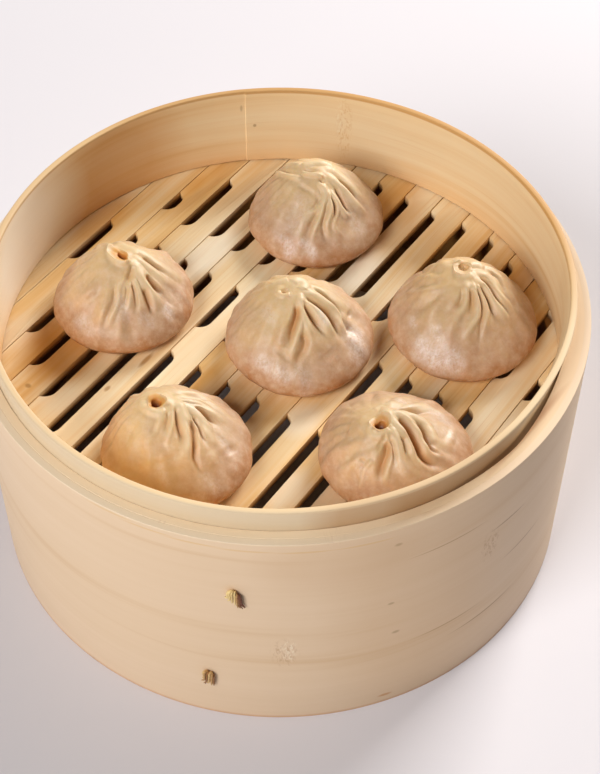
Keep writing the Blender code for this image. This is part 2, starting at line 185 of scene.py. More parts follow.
# %% Helpers for modelling
ROOT = "root"


def start_clean():
    """Leave edit mode and deselect everything."""
    if bpy.context.object and bpy.context.object.mode != "OBJECT":
        bpy.ops.object.mode_set(mode="OBJECT")
    bpy.ops.object.select_all(action="DESELECT")


def only(thing):
    """Make one object the selected and active one."""
    start_clean()
    thing.select_set(True)
    bpy.context.view_layer.objects.active = thing


def pick_faces(thing, test):
    """Select the faces whose centre and normal pass a test, with the mesh left in edit mode."""
    only(thing)
    bpy.ops.object.mode_set(mode="EDIT")
    bpy.ops.mesh.select_mode(type="FACE")
    bpy.ops.mesh.select_all(action="DESELECT")
    bpy.ops.object.mode_set(mode="OBJECT")
    for face in thing.data.polygons:
        face.select = bool(test(face.center, face.normal))
    bpy.ops.object.mode_set(mode="EDIT")


def move_points(thing, rule):
    """Pass every vertex position through a rule."""
    for corner in thing.data.vertices:
        corner.co = rule(corner.co.copy())
    thing.data.update()


def apply_all(thing):
    """Apply every modifier in order."""
    only(thing)
    for modifier in list(thing.modifiers):
        bpy.ops.object.modifier_apply(modifier=modifier.name)


def bevel_edges(thing, width_mm, segments, angle_deg=40.0):
    """Round every edge that is sharper than an angle."""
    bevel = thing.modifiers.new("worn_edges", "BEVEL")
    bevel.width = width_mm * MM
    bevel.segments = segments
    bevel.limit_method = "ANGLE"
    bevel.angle_limit = math.radians(angle_deg)
    apply_all(thing)


def settle(thing, name, nodes, surface):
    """Finish a piece: name it, put its place into its mesh, give it a material and hide the CAD nodes it
    replaces.
    """
    only(thing)
    bpy.ops.object.transform_apply(location=True, rotation=True, scale=True)
    thing.name = name
    thing.data.materials.clear()
    thing.data.materials.append(surface)
    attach(thing, ROOT)
    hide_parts(*nodes)
    print(name, "faces:", len(thing.data.polygons))


# %% [markdown]
# ## Bamboo
#
# Hoops and slats are split bamboo, planed and sanded but not varnished. To the eye that is a pale cream to
# golden wood, half matt. Its fibres are fine and straight, wider bundles and slow streaks shift its colour,
# and the plane has cut through layers, which leaves long thin contour lines. On a bent hoop all this runs
# round the basket, and on a slat along it, so every pattern is stretched that way.

# %% Bamboo material
FIBRE_WIDTH_MM = 0.5
FIBRE_LENGTH_MM = 45.0
BUNDLE_WIDTH_MM = 2.6
STREAK_WIDTH_MM = 13.0
CONTOUR_WIDTH_MM = 21.0
SWAY_MM, SWAY_EVERY_MM = 5.0, 70.0
SLAT_TURN_DEG = 54.6


def bamboo(name, pale, middle, dark, round_the_axis, turn_deg=0.0, contours=0.14, fine=0.3):
    """Planed bamboo whose fibres run round the axis, or straight along a direction in the floor's plane."""
    made, tree, shader = new_material(name)
    place = add(tree, "ShaderNodeTexCoord").outputs["Object"]
    back = (0.0, 0.0, math.radians(-turn_deg))
    turned = add(tree, "ShaderNodeMapping", {"Rotation": back}, {"Vector": place})
    parts = add(tree, "ShaderNodeSeparateXYZ", None, {"Vector": turned.outputs["Vector"]})
    flat = add(tree, "ShaderNodeCombineXYZ", None, {"X": parts.outputs["X"], "Y": parts.outputs["Y"]})
    radius = add(tree, "ShaderNodeVectorMath", {"operation": "LENGTH"}, {0: flat.outputs["Vector"]})
    tone = add(tree, "ShaderNodeAttribute", {"attribute_name": "tone"})
    if round_the_axis:
        along_a, along_b = parts.outputs["X"], parts.outputs["Y"]
        straight = add(tree, "ShaderNodeMath", {"operation": "ADD"},
                       {0: parts.outputs["Z"], 1: radius.outputs["Value"]}).outputs["Value"]
    else:
        along_a, along_b = parts.outputs["X"], parts.outputs["Z"]
        straight = parts.outputs["Y"]
    drift = add(tree, "ShaderNodeTexNoise", {"Scale": 1000 / SWAY_EVERY_MM, "Detail": 1.0},
                {"Vector": place})
    sway = add(tree, "ShaderNodeMath", {"operation": "MULTIPLY", 1: SWAY_MM * MM}, {0: drift.outputs["Fac"]})
    across = add(tree, "ShaderNodeMath", {"operation": "ADD"}, {0: straight, 1: sway.outputs["Value"]})

    def stretched(width_mm, length_mm, detail):
        """Noise that is long along the fibres and narrow across them."""
        long_a = add(tree, "ShaderNodeMath", {"operation": "MULTIPLY", 1: 1000.0 / length_mm}, {0: along_a})
        long_b = add(tree, "ShaderNodeMath", {"operation": "MULTIPLY", 1: 1000.0 / length_mm}, {0: along_b})
        narrow = add(tree, "ShaderNodeMath", {"operation": "MULTIPLY", 1: 1000.0 / width_mm},
                     {0: across.outputs["Value"]})
        shifted = add(tree, "ShaderNodeMath", {"operation": "MULTIPLY_ADD", 1: 37.0},
                      {0: tone.outputs["Fac"], 2: long_a.outputs["Value"]})
        where = add(tree, "ShaderNodeCombineXYZ", None, {"X": shifted.outputs["Value"],
                                                          "Y": narrow.outputs["Value"],
                                                          "Z": long_b.outputs["Value"]})
        return add(tree, "ShaderNodeTexNoise", {"Scale": 1.0, "Detail": detail, "Roughness": 0.6},
                   {"Vector": where.outputs["Vector"]}).outputs["Fac"]

    fibres = stretched(FIBRE_WIDTH_MM, FIBRE_LENGTH_MM, 3.0)
    bundles = stretched(BUNDLE_WIDTH_MM, 3 * FIBRE_LENGTH_MM, 2.0)
    streaks = stretched(STREAK_WIDTH_MM, 4 * FIBRE_LENGTH_MM, 2.0)
    some = add(tree, "ShaderNodeMath", {"operation": "MULTIPLY", 1: 0.4}, {0: bundles})
    body = add(tree, "ShaderNodeMath", {"operation": "MULTIPLY_ADD", 1: 0.6},
               {0: streaks, 2: some.outputs["Value"]})
    toned = add(tree, "ShaderNodeMath", {"operation": "MULTIPLY_ADD", 1: 0.5},
                {0: tone.outputs["Fac"], 2: body.outputs["Value"]})
    colour = add(tree, "ShaderNodeValToRGB", {"stops": [(0.5, dark), (0.72, middle), (0.95, pale)]},
                 {"Fac": toned.outputs["Value"]})
    layers = stretched(CONTOUR_WIDTH_MM, 6 * FIBRE_LENGTH_MM, 1.0)
    steps = add(tree, "ShaderNodeMath", {"operation": "MULTIPLY", 1: 7.0}, {0: layers})
    edge = add(tree, "ShaderNodeMath", {"operation": "PINGPONG", 1: 0.5}, {0: steps.outputs["Value"]})
    contour = add(tree, "ShaderNodeMapRange",
                  {"From Min": 0.0, "From Max": 0.10, "To Min": contours, "To Max": 0.0},
                  {"Value": edge.outputs["Value"]})
    broken = add(tree, "ShaderNodeMath", {"operation": "MULTIPLY"},
                 {0: contour.outputs["Result"], 1: bundles})
    lined = add(tree, "ShaderNodeMix", {"data_type": "RGBA", 7: linear(dark)},
                {0: broken.outputs["Value"], 6: colour.outputs["Color"]})
    thin = add(tree, "ShaderNodeMapRange", {"From Min": 0.42, "From Max": 0.28, "To Max": fine},
               {"Value": fibres})
    fibred = add(tree, "ShaderNodeMix", {"data_type": "RGBA", 7: linear(dark)},
                 {0: thin.outputs["Result"], 6: lined.outputs[2]})
    tree.links.new(fibred.outputs[2], shader.inputs["Base Color"])
    rough = add(tree, "ShaderNodeMapRange", {"To Min": 0.64, "To Max": 0.48}, {"Value": fibres})
    tree.links.new(rough.outputs["Result"], shader.inputs["Roughness"])
    relief = add(tree, "ShaderNodeBump", {"Strength": 0.4, "Distance": 0.06 * MM}, {"Height": fibres})
    tree.links.new(relief.outputs["Normal"], shader.inputs["Normal"])
    shader.inputs["Specular IOR Level"].default_value = 0.35
    return made


hoop_bamboo = bamboo("split_bamboo_hoop", "E7CBAB", "E4C7A5", "D8B48A", True, contours=0.06, fine=0.08)
inner_bamboo = bamboo("split_bamboo_inner_hoop", "F4DBB1", "EFCF9F", "D8A664", True, contours=0.07, fine=0.22)
slat_bamboo = bamboo("planed_bamboo_slat", "F5E1BC", "EBC386", "CF9446", False, SLAT_TURN_DEG)
frame_bamboo = bamboo("rough_bamboo_frame", "B98442", "A06A30", "7C4A1E", True)
print("bamboo materials:", [made.name for made in (hoop_bamboo, inner_bamboo, slat_bamboo, frame_bamboo)])

# %% [markdown]
# ### Marks that this basket has
#
# Bamboo grows in joints, and where a joint was planed flat it leaves a patch of short wavy scratches. There
# are also dark specks, fine cracks and stains. Light and shade are painted in as well: the slats and walls
# are painted gold and brown where they lie in shade, partly their own golden tone, and paler where they are
# lit. Each mark is a soft ellipse at its own place, turned to face the axis, mixed over the colour that the
# wood has there.

# %% Helpers for the marks
OUTER_RADIUS = 100.0
OUTER_HEIGHT = 96.5
INNER_OUTSIDE = 94.7
INNER_WALL = 2.1
INNER_FACE = INNER_OUTSIDE - INNER_WALL
SCRATCH_WIDTH_MM, SCRATCH_LENGTH_MM = 0.7, 2.2


def colour_over(surface, mask, colour, strength):
    """Mix a colour over a material's present base colour where a mask is white."""
    tree, shader = surface.node_tree, surface.node_tree.nodes["Principled BSDF"]
    before = shader.inputs["Base Color"].links[0].from_socket
    weight = add(tree, "ShaderNodeMath", {"operation": "MULTIPLY", 1: strength, "use_clamp": True}, {0: mask})
    over = add(tree, "ShaderNodeMix", {"data_type": "RGBA", 7: linear(colour)},
               {0: weight.outputs["Value"], 6: before})
    tree.links.new(over.outputs[2], shader.inputs["Base Color"])


def ellipse_mask(surface, centre_mm, turn_deg, half_mm):
    """White inside a soft ellipsoid, which is turned about Z, and the coordinates inside it."""
    tree = surface.node_tree
    place = add(tree, "ShaderNodeTexCoord").outputs["Object"]
    shape = {"vector_type": "TEXTURE", "Location": [c * MM for c in centre_mm],
             "Rotation": (0.0, 0.0, math.radians(turn_deg)), "Scale": [h * MM for h in half_mm]}
    inside = add(tree, "ShaderNodeMapping", shape, {"Vector": place})
    far = add(tree, "ShaderNodeVectorMath", {"operation": "LENGTH"}, {0: inside.outputs["Vector"]})
    mask = add(tree, "ShaderNodeMapRange", {"From Min": 0.45, "From Max": 1.0, "To Min": 1.0, "To Max": 0.0},
               {"Value": far.outputs["Value"]})
    return mask.outputs["Result"], inside.outputs["Vector"]


def soft_patch(surface, centre_mm, turn_deg, half_mm, colour, strength):
    """A soft ellipsoid of another colour."""
    mask, _ = ellipse_mask(surface, centre_mm, turn_deg, half_mm)
    colour_over(surface, mask, colour, strength)


def on_circle(radius_mm, angle_deg, height_mm):
    """The place in mm at a radius, an angle and a height."""
    turn = math.radians(angle_deg)
    return radius_mm * math.cos(turn), radius_mm * math.sin(turn), height_mm


def mark_on_wall(surface, radius_mm, spot, half_size, colour, strength, depth=6.0):
    """A soft elliptical mark on an upright wall, at an angle and height, with its half sizes along and up."""
    soft_patch(surface, on_circle(radius_mm, *spot), spot[0], (depth, *half_size), colour, strength)


def joint_on_wall(surface, radius_mm, spot, half_size, colour, strength):
    """A planed joint: short wavy upright scratches inside a soft ellipse."""
    tree = surface.node_tree
    mask, inside = ellipse_mask(surface, on_circle(radius_mm, *spot), spot[0], (6.0, *half_size))
    scale = (1.0, half_size[0] / SCRATCH_WIDTH_MM, half_size[1] / SCRATCH_LENGTH_MM)
    wavy = add(tree, "ShaderNodeMapping", {"Scale": scale}, {"Vector": inside})
    scratch = add(tree, "ShaderNodeTexNoise", {"Scale": 1.0, "Detail": 2.0, "Distortion": 0.8},
                  {"Vector": wavy.outputs["Vector"]})
    thin = add(tree, "ShaderNodeMapRange", {"From Min": 0.5, "From Max": 0.62},
               {"Value": scratch.outputs["Fac"]})
    both = add(tree, "ShaderNodeMath", {"operation": "MULTIPLY"}, {0: mask, 1: thin.outputs["Result"]})
    colour_over(surface, both.outputs["Value"], colour, strength)


def fade_mask(surface, part, low_mm, high_mm):
    """A mask that fades in between two values of one coordinate, or of the radius."""
    tree = surface.node_tree
    place = add(tree, "ShaderNodeTexCoord").outputs["Object"]
    if part == "radius":
        level = add(tree, "ShaderNodeVectorMath", {"operation": "MULTIPLY", 1: (1.0, 1.0, 0.0)}, {0: place})
        length = add(tree, "ShaderNodeVectorMath", {"operation": "LENGTH"}, {0: level.outputs["Vector"]})
        value = length.outputs["Value"]
    else:
        value = add(tree, "ShaderNodeSeparateXYZ", None, {"Vector": place}).outputs[part]
    mask = add(tree, "ShaderNodeMapRange", {"From Min": low_mm * MM, "From Max": high_mm * MM},
               {"Value": value})
    return mask.outputs["Result"]


print("mark helpers ready")

# %% Marks on the outer hoop
DARK_SPOT, CRACK, ORANGE, SCRATCH, HONEY = "8E6B45", "93602F", "C98543", "B98C60", "DDB577"
for spot, size in (((-70.3, 88.3), 1.1), ((-70.8, 58.2), 1.0), ((-69.4, 41.2), 1.2)):
    mark_on_wall(hoop_bamboo, OUTER_RADIUS, spot, (1.4 * size, 0.8 * size), DARK_SPOT, 0.5)
for spot, half_size in (((-49.0, 25.1), (17.0, 0.5)), ((-46.0, 70.8), (9.0, 0.45)),
                        ((-58.0, 33.0), (15.0, 0.35)), ((-60.0, 79.0), (16.0, 0.35)),
                        ((-40.0, 49.0), (12.0, 0.35))):
    mark_on_wall(hoop_bamboo, OUTER_RADIUS, spot, half_size, CRACK, 0.55)
joint_on_wall(hoop_bamboo, OUTER_RADIUS, (-89.6, 39.5), (5.0, 9.0), SCRATCH, 0.5)
joint_on_wall(hoop_bamboo, OUTER_RADIUS, (-89.0, 41.0), (3.0, 8.0), "F6E6CC", 0.7)
joint_on_wall(hoop_bamboo, OUTER_RADIUS, (-50.3, 63.9), (4.5, 9.0), SCRATCH, 0.5)
joint_on_wall(hoop_bamboo, 97.0, (-81.5, OUTER_HEIGHT), (5.0, 3.0), SCRATCH, 0.35)
for angle in (-110.1, -111.0):
    mark_on_wall(hoop_bamboo, 97.4, (angle, OUTER_HEIGHT), (0.5, 0.5), "B07A3C", 0.7, depth=0.8)
mark_on_wall(hoop_bamboo, OUTER_RADIUS, (-70.5, 4.3), (3.0, 0.9), ORANGE, 0.7)
colour_over(hoop_bamboo, fade_mask(hoop_bamboo, "Z", 1.6, 0.4), ORANGE, 0.55)
colour_over(hoop_bamboo, fade_mask(hoop_bamboo, "radius", 97.9, 97.4), "E6BE84", 0.35)

# Painted light and shade: the ledge is painted pale in front, where the inner hoop shades it,
# and brown down in the gap at the right, where it lies in shade
mark_on_wall(hoop_bamboo, 80.0, (-112.0, 97.5), (135.0, 1.9), "FBE8C9", 1.0, depth=60.0)
mark_on_wall(hoop_bamboo, 94.0, (-38.0, 95.0), (26.0, 6.0), "A8622C", 0.5, depth=1.8)

# A honey-coloured line runs round below the front edge, and painted shade makes the wall and the
# ledge browner towards the right, where the lamps reach less
for spot in ((-120.0, 95.2), (-113.0, 94.1), (-105.0, 93.4), (-96.0, 92.9), (-86.0, 92.6), (-76.0, 92.5)):
    mark_on_wall(hoop_bamboo, OUTER_RADIUS, spot, (11.0, 0.55), HONEY, 0.5)
mark_on_wall(hoop_bamboo, OUTER_RADIUS, (-65.0, 55.0), (36.0, 75.0), "D0A573", 0.24, depth=20.0)
mark_on_wall(hoop_bamboo, OUTER_RADIUS, (-80.0, 85.0), (42.0, 17.0), "C99F70", 0.2)
mark_on_wall(hoop_bamboo, 96.6, (-64.0, OUTER_HEIGHT), (16.0, 1.5), "C79A66", 0.22, depth=3.0)
print("nodes in the outer hoop's bamboo:", len(hoop_bamboo.node_tree.nodes))

# %% Marks on the inner hoop
joint_on_wall(inner_bamboo, INNER_FACE, (75.3, 90.0), (3.6, 18.0), "D9A869", 0.45)
joint_on_wall(inner_bamboo, INNER_FACE, (76.2, 93.0), (2.2, 12.0), "FBEBCB", 0.45)
mark_on_wall(inner_bamboo, INNER_FACE, (95.6, 89.5), (0.8, 0.9), DARK_SPOT, 0.6)
mark_on_wall(inner_bamboo, INNER_FACE, (98.5, 97.6), (0.6, 1.8), DARK_SPOT, 0.35)
# Painted shade: the inner wall is golden low down, next to the grate
colour_over(inner_bamboo, fade_mask(inner_bamboo, "Z", 84.0, 74.0), "D08F3C", 0.35)

# Its outside is greyer, and painted shade makes it browner at the right front
colour_over(inner_bamboo, fade_mask(inner_bamboo, "radius", 93.6, 94.2), "DAC7AB", 0.7)
mark_on_wall(inner_bamboo, 95.5, (-55.0, 98.0), (56.0, 24.0), "C08B52", 0.66)
mark_on_wall(inner_bamboo, 95.5, (-74.0, 99.0), (26.0, 24.0), "B98040", 0.5)

# Inside, painted shade makes the wall a deep gold at the left back, where the lamps hardly reach, and
# painted light makes it paler than the rest next to that
mark_on_wall(inner_bamboo, INNER_FACE, (128.0, 88.0), (30.0, 30.0), "CE8526", 0.4, depth=22.0)
mark_on_wall(inner_bamboo, INNER_FACE, (160.0, 88.0), (40.0, 30.0), "FDF3E2", 0.8, depth=22.0)

# The rim turns golden towards the back and the right
tree = inner_bamboo.node_tree
top_edge = fade_mask(inner_bamboo, "Z", 103.6, 104.1)
far_side = fade_mask(inner_bamboo, "Y", -25.0, 25.0)
right_side = fade_mask(inner_bamboo, "X", -30.0, 30.0)
colour_over(inner_bamboo, top_edge, "E3C59C", 0.6)
rim = add(tree, "ShaderNodeMath", {"operation": "MULTIPLY"}, {0: far_side, 1: top_edge}).outputs["Value"]
colour_over(inner_bamboo, rim, "D6AC74", 0.65)
rim_right = add(tree, "ShaderNodeMath", {"operation": "MULTIPLY"}, {0: rim, 1: right_side}).outputs["Value"]
colour_over(inner_bamboo, rim_right, "CB9146", 0.7)
mark_on_wall(inner_bamboo, 93.4, (102.0, 104.7), (60.0, 1.0), "C08A48", 0.55, depth=25.0)
print("nodes in the inner hoop's bamboo:", len(inner_bamboo.node_tree.nodes))

# %% Marks on the slats
GRATE_TOP = 72.8
SLAT_TURN = math.radians(SLAT_TURN_DEG)
DUMPLING_PLACES = ((12.8, 55.2), (-52.8, 15.2), (6.5, -3.2), (60.6, 2.7), (-31.8, -51.1), (35.9, -51.5))
# Gold patches are painted shade where the slats lie in shade, partly their own golden tone; pale patches are
# painted light where the slats are lit, partly their paler tone
SHADE_AND_TONE_GOLD, LIT_AND_TONE_PALE, STAIN, DULL = "CF8922", "FBF0DC", "A8742F", "C9B28E"
# Each patch: its middle along and across the slats, its half sizes that way, its colour and its strength
PATCHES = (
    (12.0, -87.0, 22.0, 9.0, SHADE_AND_TONE_GOLD, 0.6), (-46.0, -57.0, 16.0, 18.0, SHADE_AND_TONE_GOLD, 0.6),
    (47.0, -68.0, 26.0, 7.0, SHADE_AND_TONE_GOLD, 0.35), (-30.0, 1.0, 14.0, 8.0, SHADE_AND_TONE_GOLD, 0.4),
    (-28.0, -10.0, 10.0, 7.0, SHADE_AND_TONE_GOLD, 0.45), (70.0, 36.0, 20.0, 22.0, SHADE_AND_TONE_GOLD, 0.35),
    (80.0, -4.0, 16.0, 10.0, SHADE_AND_TONE_GOLD, 0.45), (70.0, 52.0, 16.0, 11.0, SHADE_AND_TONE_GOLD, 0.5),
    (68.0, 3.0, 20.0, 6.5, SHADE_AND_TONE_GOLD, 0.4), (46.0, -71.0, 8.0, 3.0, SHADE_AND_TONE_GOLD, 0.3),
    (-38.0, 25.0, 26.0, 7.0, DULL, 0.35), (-18.0, -22.0, 24.0, 7.0, DULL, 0.35),
    (-28.0, 13.0, 10.0, 7.0, SHADE_AND_TONE_GOLD, 0.4), (64.0, 13.0, 26.0, 8.0, SHADE_AND_TONE_GOLD, 0.35),
    (54.0, -57.0, 24.0, 7.0, SHADE_AND_TONE_GOLD, 0.2), (40.0, -45.0, 9.0, 6.0, SHADE_AND_TONE_GOLD, 0.22),
    (-42.0, -68.0, 10.0, 6.0, SHADE_AND_TONE_GOLD, 0.5), (-50.0, 37.0, 12.0, 8.0, LIT_AND_TONE_PALE, 0.4),
    (-24.0, 25.0, 10.0, 7.0, LIT_AND_TONE_PALE, 0.35), (20.0, -45.0, 18.0, 9.0, LIT_AND_TONE_PALE, 0.45),
    (-61.0, -45.0, 10.0, 9.0, LIT_AND_TONE_PALE, 0.35), (43.0, 3.0, 14.0, 7.0, LIT_AND_TONE_PALE, 0.5),
    (40.0, 25.0, 9.0, 8.0, LIT_AND_TONE_PALE, 0.3), (-48.0, 49.0, 12.0, 9.0, LIT_AND_TONE_PALE, 0.4),
    (10.0, 84.0, 14.0, 9.0, LIT_AND_TONE_PALE, 0.25), (-48.0, -75.0, 14.0, 8.0, LIT_AND_TONE_PALE, 0.3),
    (-32.0, -32.0, 4.6, 1.1, STAIN, 0.75), (-49.1, -34.5, 1.8, 1.0, STAIN, 0.6),
    (-62.9, -56.4, 1.1, 1.4, STAIN, 0.6))


def on_grate(along, across, height):
    """World place in metres of a point given in mm along the slats, across them and up."""
    return Vector(((along * math.cos(SLAT_TURN) + across * math.sin(SLAT_TURN)) * MM,
                   (along * math.sin(SLAT_TURN) - across * math.cos(SLAT_TURN)) * MM, height * MM))


for along, across, half_along, half_across, colour, strength in PATCHES:
    centre = on_grate(along, across, GRATE_TOP) / MM
    soft_patch(slat_bamboo, centre, SLAT_TURN_DEG, (half_along, half_across, 4.0), colour, strength)
# Painted shade: a gold ring on the slats round each dumpling, which shades them and throws warm light back
for place in DUMPLING_PLACES:
    soft_patch(slat_bamboo, (*place, GRATE_TOP), 0.0, (34.0, 34.0, 6.0), "D08A30", 0.27)
# Painted shade: the slats are browner below their top face, down the sides of the slots
colour_over(slat_bamboo, fade_mask(slat_bamboo, "Z", 71.6, 70.6), "9A6430", 0.75)
print("nodes in the slats' bamboo:", len(slat_bamboo.node_tree.nodes))

# %% [markdown]
# ## Outer hoop
#
# Real steamers have a thick strip of bamboo bent into a hoop and wound twice, so a fine line between the
# two layers shows on the ledge. A circle is extruded inwards to make the flat ring, then upwards to make
# the wall. That gives loops exactly where the layer line and the rounded edges need them.

# %% Model the outer hoop
OUTER_WALL = 5.0
LAYER_LINE = 2.35
LAYER_LINE_HALF = 0.14
LAYER_LINE_DEPTH = 0.17
LINE_CLOSED_AT_DEG = -10.0
LINE_CLOSED_HALF_DEG = 75.0
HOOP_SIDES = 288
WALL_LEVELS = (0.0, 24.0, 48.0, 72.0, 86.0, OUTER_HEIGHT)
LIP_IN, LIP_AT_DEG, LIP_HALF_DEG = 2.1, -19.0, 24.0


def swell_at(angle_deg, centre_deg, half_deg):
    """A smooth bump along the circle, 1 in its middle and 0 beyond its half width."""
    across = (angle_deg - centre_deg + 180.0) % 360.0 - 180.0
    return 0.5 + 0.5 * math.cos(math.pi * across / half_deg) if abs(across) < half_deg else 0.0


def lip_in(angle_deg):
    """How far the inner strip of the outer hoop leans in at the right, in mm."""
    return LIP_IN * math.sqrt(swell_at(angle_deg, LIP_AT_DEG, LIP_HALF_DEG))


def ring_by_hand(radii_mm, levels_mm, sides):
    """A flat ring with loops at the given radii, extruded up through the given levels."""
    start_clean()
    bpy.ops.mesh.primitive_circle_add(vertices=sides, radius=radii_mm[0] * MM,
                                      location=(0.0, 0.0, levels_mm[0] * MM))
    bpy.ops.object.transform_apply(location=True, rotation=False, scale=False)
    bpy.ops.object.mode_set(mode="EDIT")
    bpy.ops.mesh.select_all(action="SELECT")
    for before, after in zip(radii_mm, radii_mm[1:]):
        bpy.ops.mesh.extrude_edges_move()
        share = after / before
        bpy.ops.transform.resize(value=(share, share, 1.0), center_override=(0.0, 0.0, levels_mm[0] * MM))
    bpy.ops.mesh.select_all(action="SELECT")
    for before, after in zip(levels_mm, levels_mm[1:]):
        bpy.ops.mesh.extrude_region_move(TRANSFORM_OT_translate={"value": (0.0, 0.0, (after - before) * MM)})
    bpy.ops.mesh.select_all(action="SELECT")
    bpy.ops.mesh.normals_make_consistent(inside=False)
    bpy.ops.object.mode_set(mode="OBJECT")
    return bpy.context.object


def wander(angle, height, seed, size):
    """Smooth small drift of hand-bent wood, between -1 and 1, by angle and height in mm."""
    where = Vector((math.cos(angle) * size, math.sin(angle) * size, height * 0.012 + seed))
    return noise.noise(where)


outer_radii = (OUTER_RADIUS, OUTER_RADIUS - LAYER_LINE + LAYER_LINE_HALF, OUTER_RADIUS - LAYER_LINE,
               OUTER_RADIUS - LAYER_LINE - LAYER_LINE_HALF, OUTER_RADIUS - OUTER_WALL)
outer_hoop = ring_by_hand(outer_radii, WALL_LEVELS, HOOP_SIDES)


def press_layer_line(point):
    """Sink the middle loop of the ledge where the two strips meet."""
    on_ledge = point.z > (OUTER_HEIGHT - 1.0) * MM
    if on_ledge and abs(point.xy.length / MM - (OUTER_RADIUS - LAYER_LINE)) < LAYER_LINE_HALF / 2:
        across = (math.degrees(math.atan2(point.y, point.x)) - LINE_CLOSED_AT_DEG + 180.0) % 360.0 - 180.0
        open_share = min(1.0, abs(across) / LINE_CLOSED_HALF_DEG) ** 2
        point.z -= LAYER_LINE_DEPTH * (0.05 + 0.95 * open_share) * MM
    return point


move_points(outer_hoop, press_layer_line)
bevel_edges(outer_hoop, 0.8, 3, 60.0)


def hand_bent_wall(point):
    """Let the outside wander inwards by a few tenths of a millimetre, and the lip lean in at the right."""
    angle = math.atan2(point.y, point.x)
    radius = point.xy.length / MM
    height = point.z / MM
    outside = (radius - OUTER_RADIUS + OUTER_WALL) / OUTER_WALL
    even = swell_at(math.degrees(angle), -42.0, 40.0)
    front = swell_at(math.degrees(angle), -118.0, 80.0)
    if radius < OUTER_RADIUS - OUTER_WALL + 0.85 and height > OUTER_HEIGHT - 0.85:
        sharper = 1.0 - 0.75 * min(1.0, 2.0 * front)
        radius = OUTER_RADIUS - OUTER_WALL + (radius - OUTER_RADIUS + OUTER_WALL) * sharper
        height = OUTER_HEIGHT - (OUTER_HEIGHT - height) * sharper
    radius -= 0.18 * (1.0 + wander(angle, height, 3.0, 1.7)) * outside * (1.0 - even)
    if outside < 0.2:
        radius -= (lip_in(math.degrees(angle)) + 0.17 * front) * max(0.0, min(1.0, (height - 86.0) / 9.0))
    height -= 0.12 * (1.0 + wander(angle, 0.0, 8.0, 2.3)) * (1.0 - even) * height / OUTER_HEIGHT
    return Vector((radius * math.cos(angle), radius * math.sin(angle), height)) * MM


move_points(outer_hoop, hand_bent_wall)
bpy.ops.object.shade_smooth_by_angle(angle=math.radians(35.0))

# %% [markdown]
# ## Inner hoop
#
# A thinner strip stands inside, on the ends of the slats, and rises above the ledge to take a lid. It has
# sprung inwards at the right front, which leaves a dark crescent between it and the outer hoop. At the back
# its end laps over, and the step of that lap is the upright line on the inner wall.

# %% Model the inner hoop
INNER_FOOT = 73.0
INNER_TOP = 105.0
SPRUNG_AT_DEG = -38.0
SPRUNG_HALF_WIDTH_DEG = 28.0
SPRUNG_BY = 1.1
SPRUNG_FROM_Z = 80.0
FRONT_LOW, FRONT_LOW_AT_DEG, FRONT_LOW_HALF_DEG = 0.95, -115.0, 72.0
LAP_AT_DEG = 97.6
LAP_STEP = 0.32
LAP_FADE_DEG = 50.0

inner_levels = (INNER_FOOT, 77.0, 81.0, 86.0, 91.0, 96.0, 100.5, INNER_TOP)
inner_hoop = ring_by_hand((INNER_OUTSIDE, INNER_OUTSIDE - INNER_WALL), inner_levels, HOOP_SIDES)


def near_lap(centre, normal):
    """True for a face beside the lap."""
    return abs(math.degrees(math.atan2(centre.y, centre.x)) - LAP_AT_DEG) < 3


for cut_at in (LAP_AT_DEG - 0.05, LAP_AT_DEG + 0.05):
    pick_faces(inner_hoop, near_lap)
    across = math.radians(cut_at + 90.0)
    bpy.ops.mesh.bisect(plane_co=(0.0, 0.0, 0.0), plane_no=(math.cos(across), math.sin(across), 0.0))
bpy.ops.object.mode_set(mode="OBJECT")
bevel_edges(inner_hoop, 0.45, 3, 60.0)


def bent_and_lapped(point):
    """Shape of the inner hoop: the lap's step inside at the back, and the spring at the right front."""
    angle = math.degrees(math.atan2(point.y, point.x))
    radius = point.xy.length / MM
    height = point.z / MM
    inside = max(0.0, min(1.0, (INNER_OUTSIDE - radius) / INNER_WALL))
    past_lap = (angle - LAP_AT_DEG) % 360.0
    if past_lap < LAP_FADE_DEG:
        radius += LAP_STEP * inside * (1.0 - past_lap / LAP_FADE_DEG) ** 1.5
    if height > SPRUNG_FROM_Z:
        up = min(1.0, (height - SPRUNG_FROM_Z) / (OUTER_HEIGHT - 1.5 - SPRUNG_FROM_Z))
        above = max(0.0, height - OUTER_HEIGHT) / (INNER_TOP - OUTER_HEIGHT)
        radius -= lip_in(angle) * up * (1.0 - 0.85 * above)
        radius -= SPRUNG_BY * swell_at(angle, SPRUNG_AT_DEG, SPRUNG_HALF_WIDTH_DEG) * up * (1.0 - 0.4 * above)
    turn = math.radians(angle)
    radius -= 0.12 * (1.0 + wander(turn, height, 21.0, 1.9)) * inside
    lower = 0.12 * (1.0 + wander(turn, 0.0, 15.0, 2.6))
    lower += FRONT_LOW * swell_at(angle, FRONT_LOW_AT_DEG, FRONT_LOW_HALF_DEG)
    height -= lower * (height - INNER_FOOT) / (INNER_TOP - INNER_FOOT)
    return Vector((radius * math.cos(turn) * MM, radius * math.sin(turn) * MM, height * MM))


move_points(inner_hoop, bent_and_lapped)
bpy.ops.object.shade_smooth_by_angle(angle=math.radians(35.0))

# %% [markdown]
# ## Lower ring and cross bars
#
# Under the grate a third hoop carries the slats' ends, and two square bars cross below them. Only the slots
# and a view from below show them, so they stay plain: a ring with eased edges and two planed bars.

# %% Model the lower ring and the bars
LOWER_OUTSIDE = 94.7
LOWER_WALL = 4.0
LOWER_BOTTOM = 10.5
LOWER_TOP = 69.6
BAR_PLACES = (20.5, -16.5)
BAR_SIZE = (8.5, 5.0)
BAR_REACH = 90.2

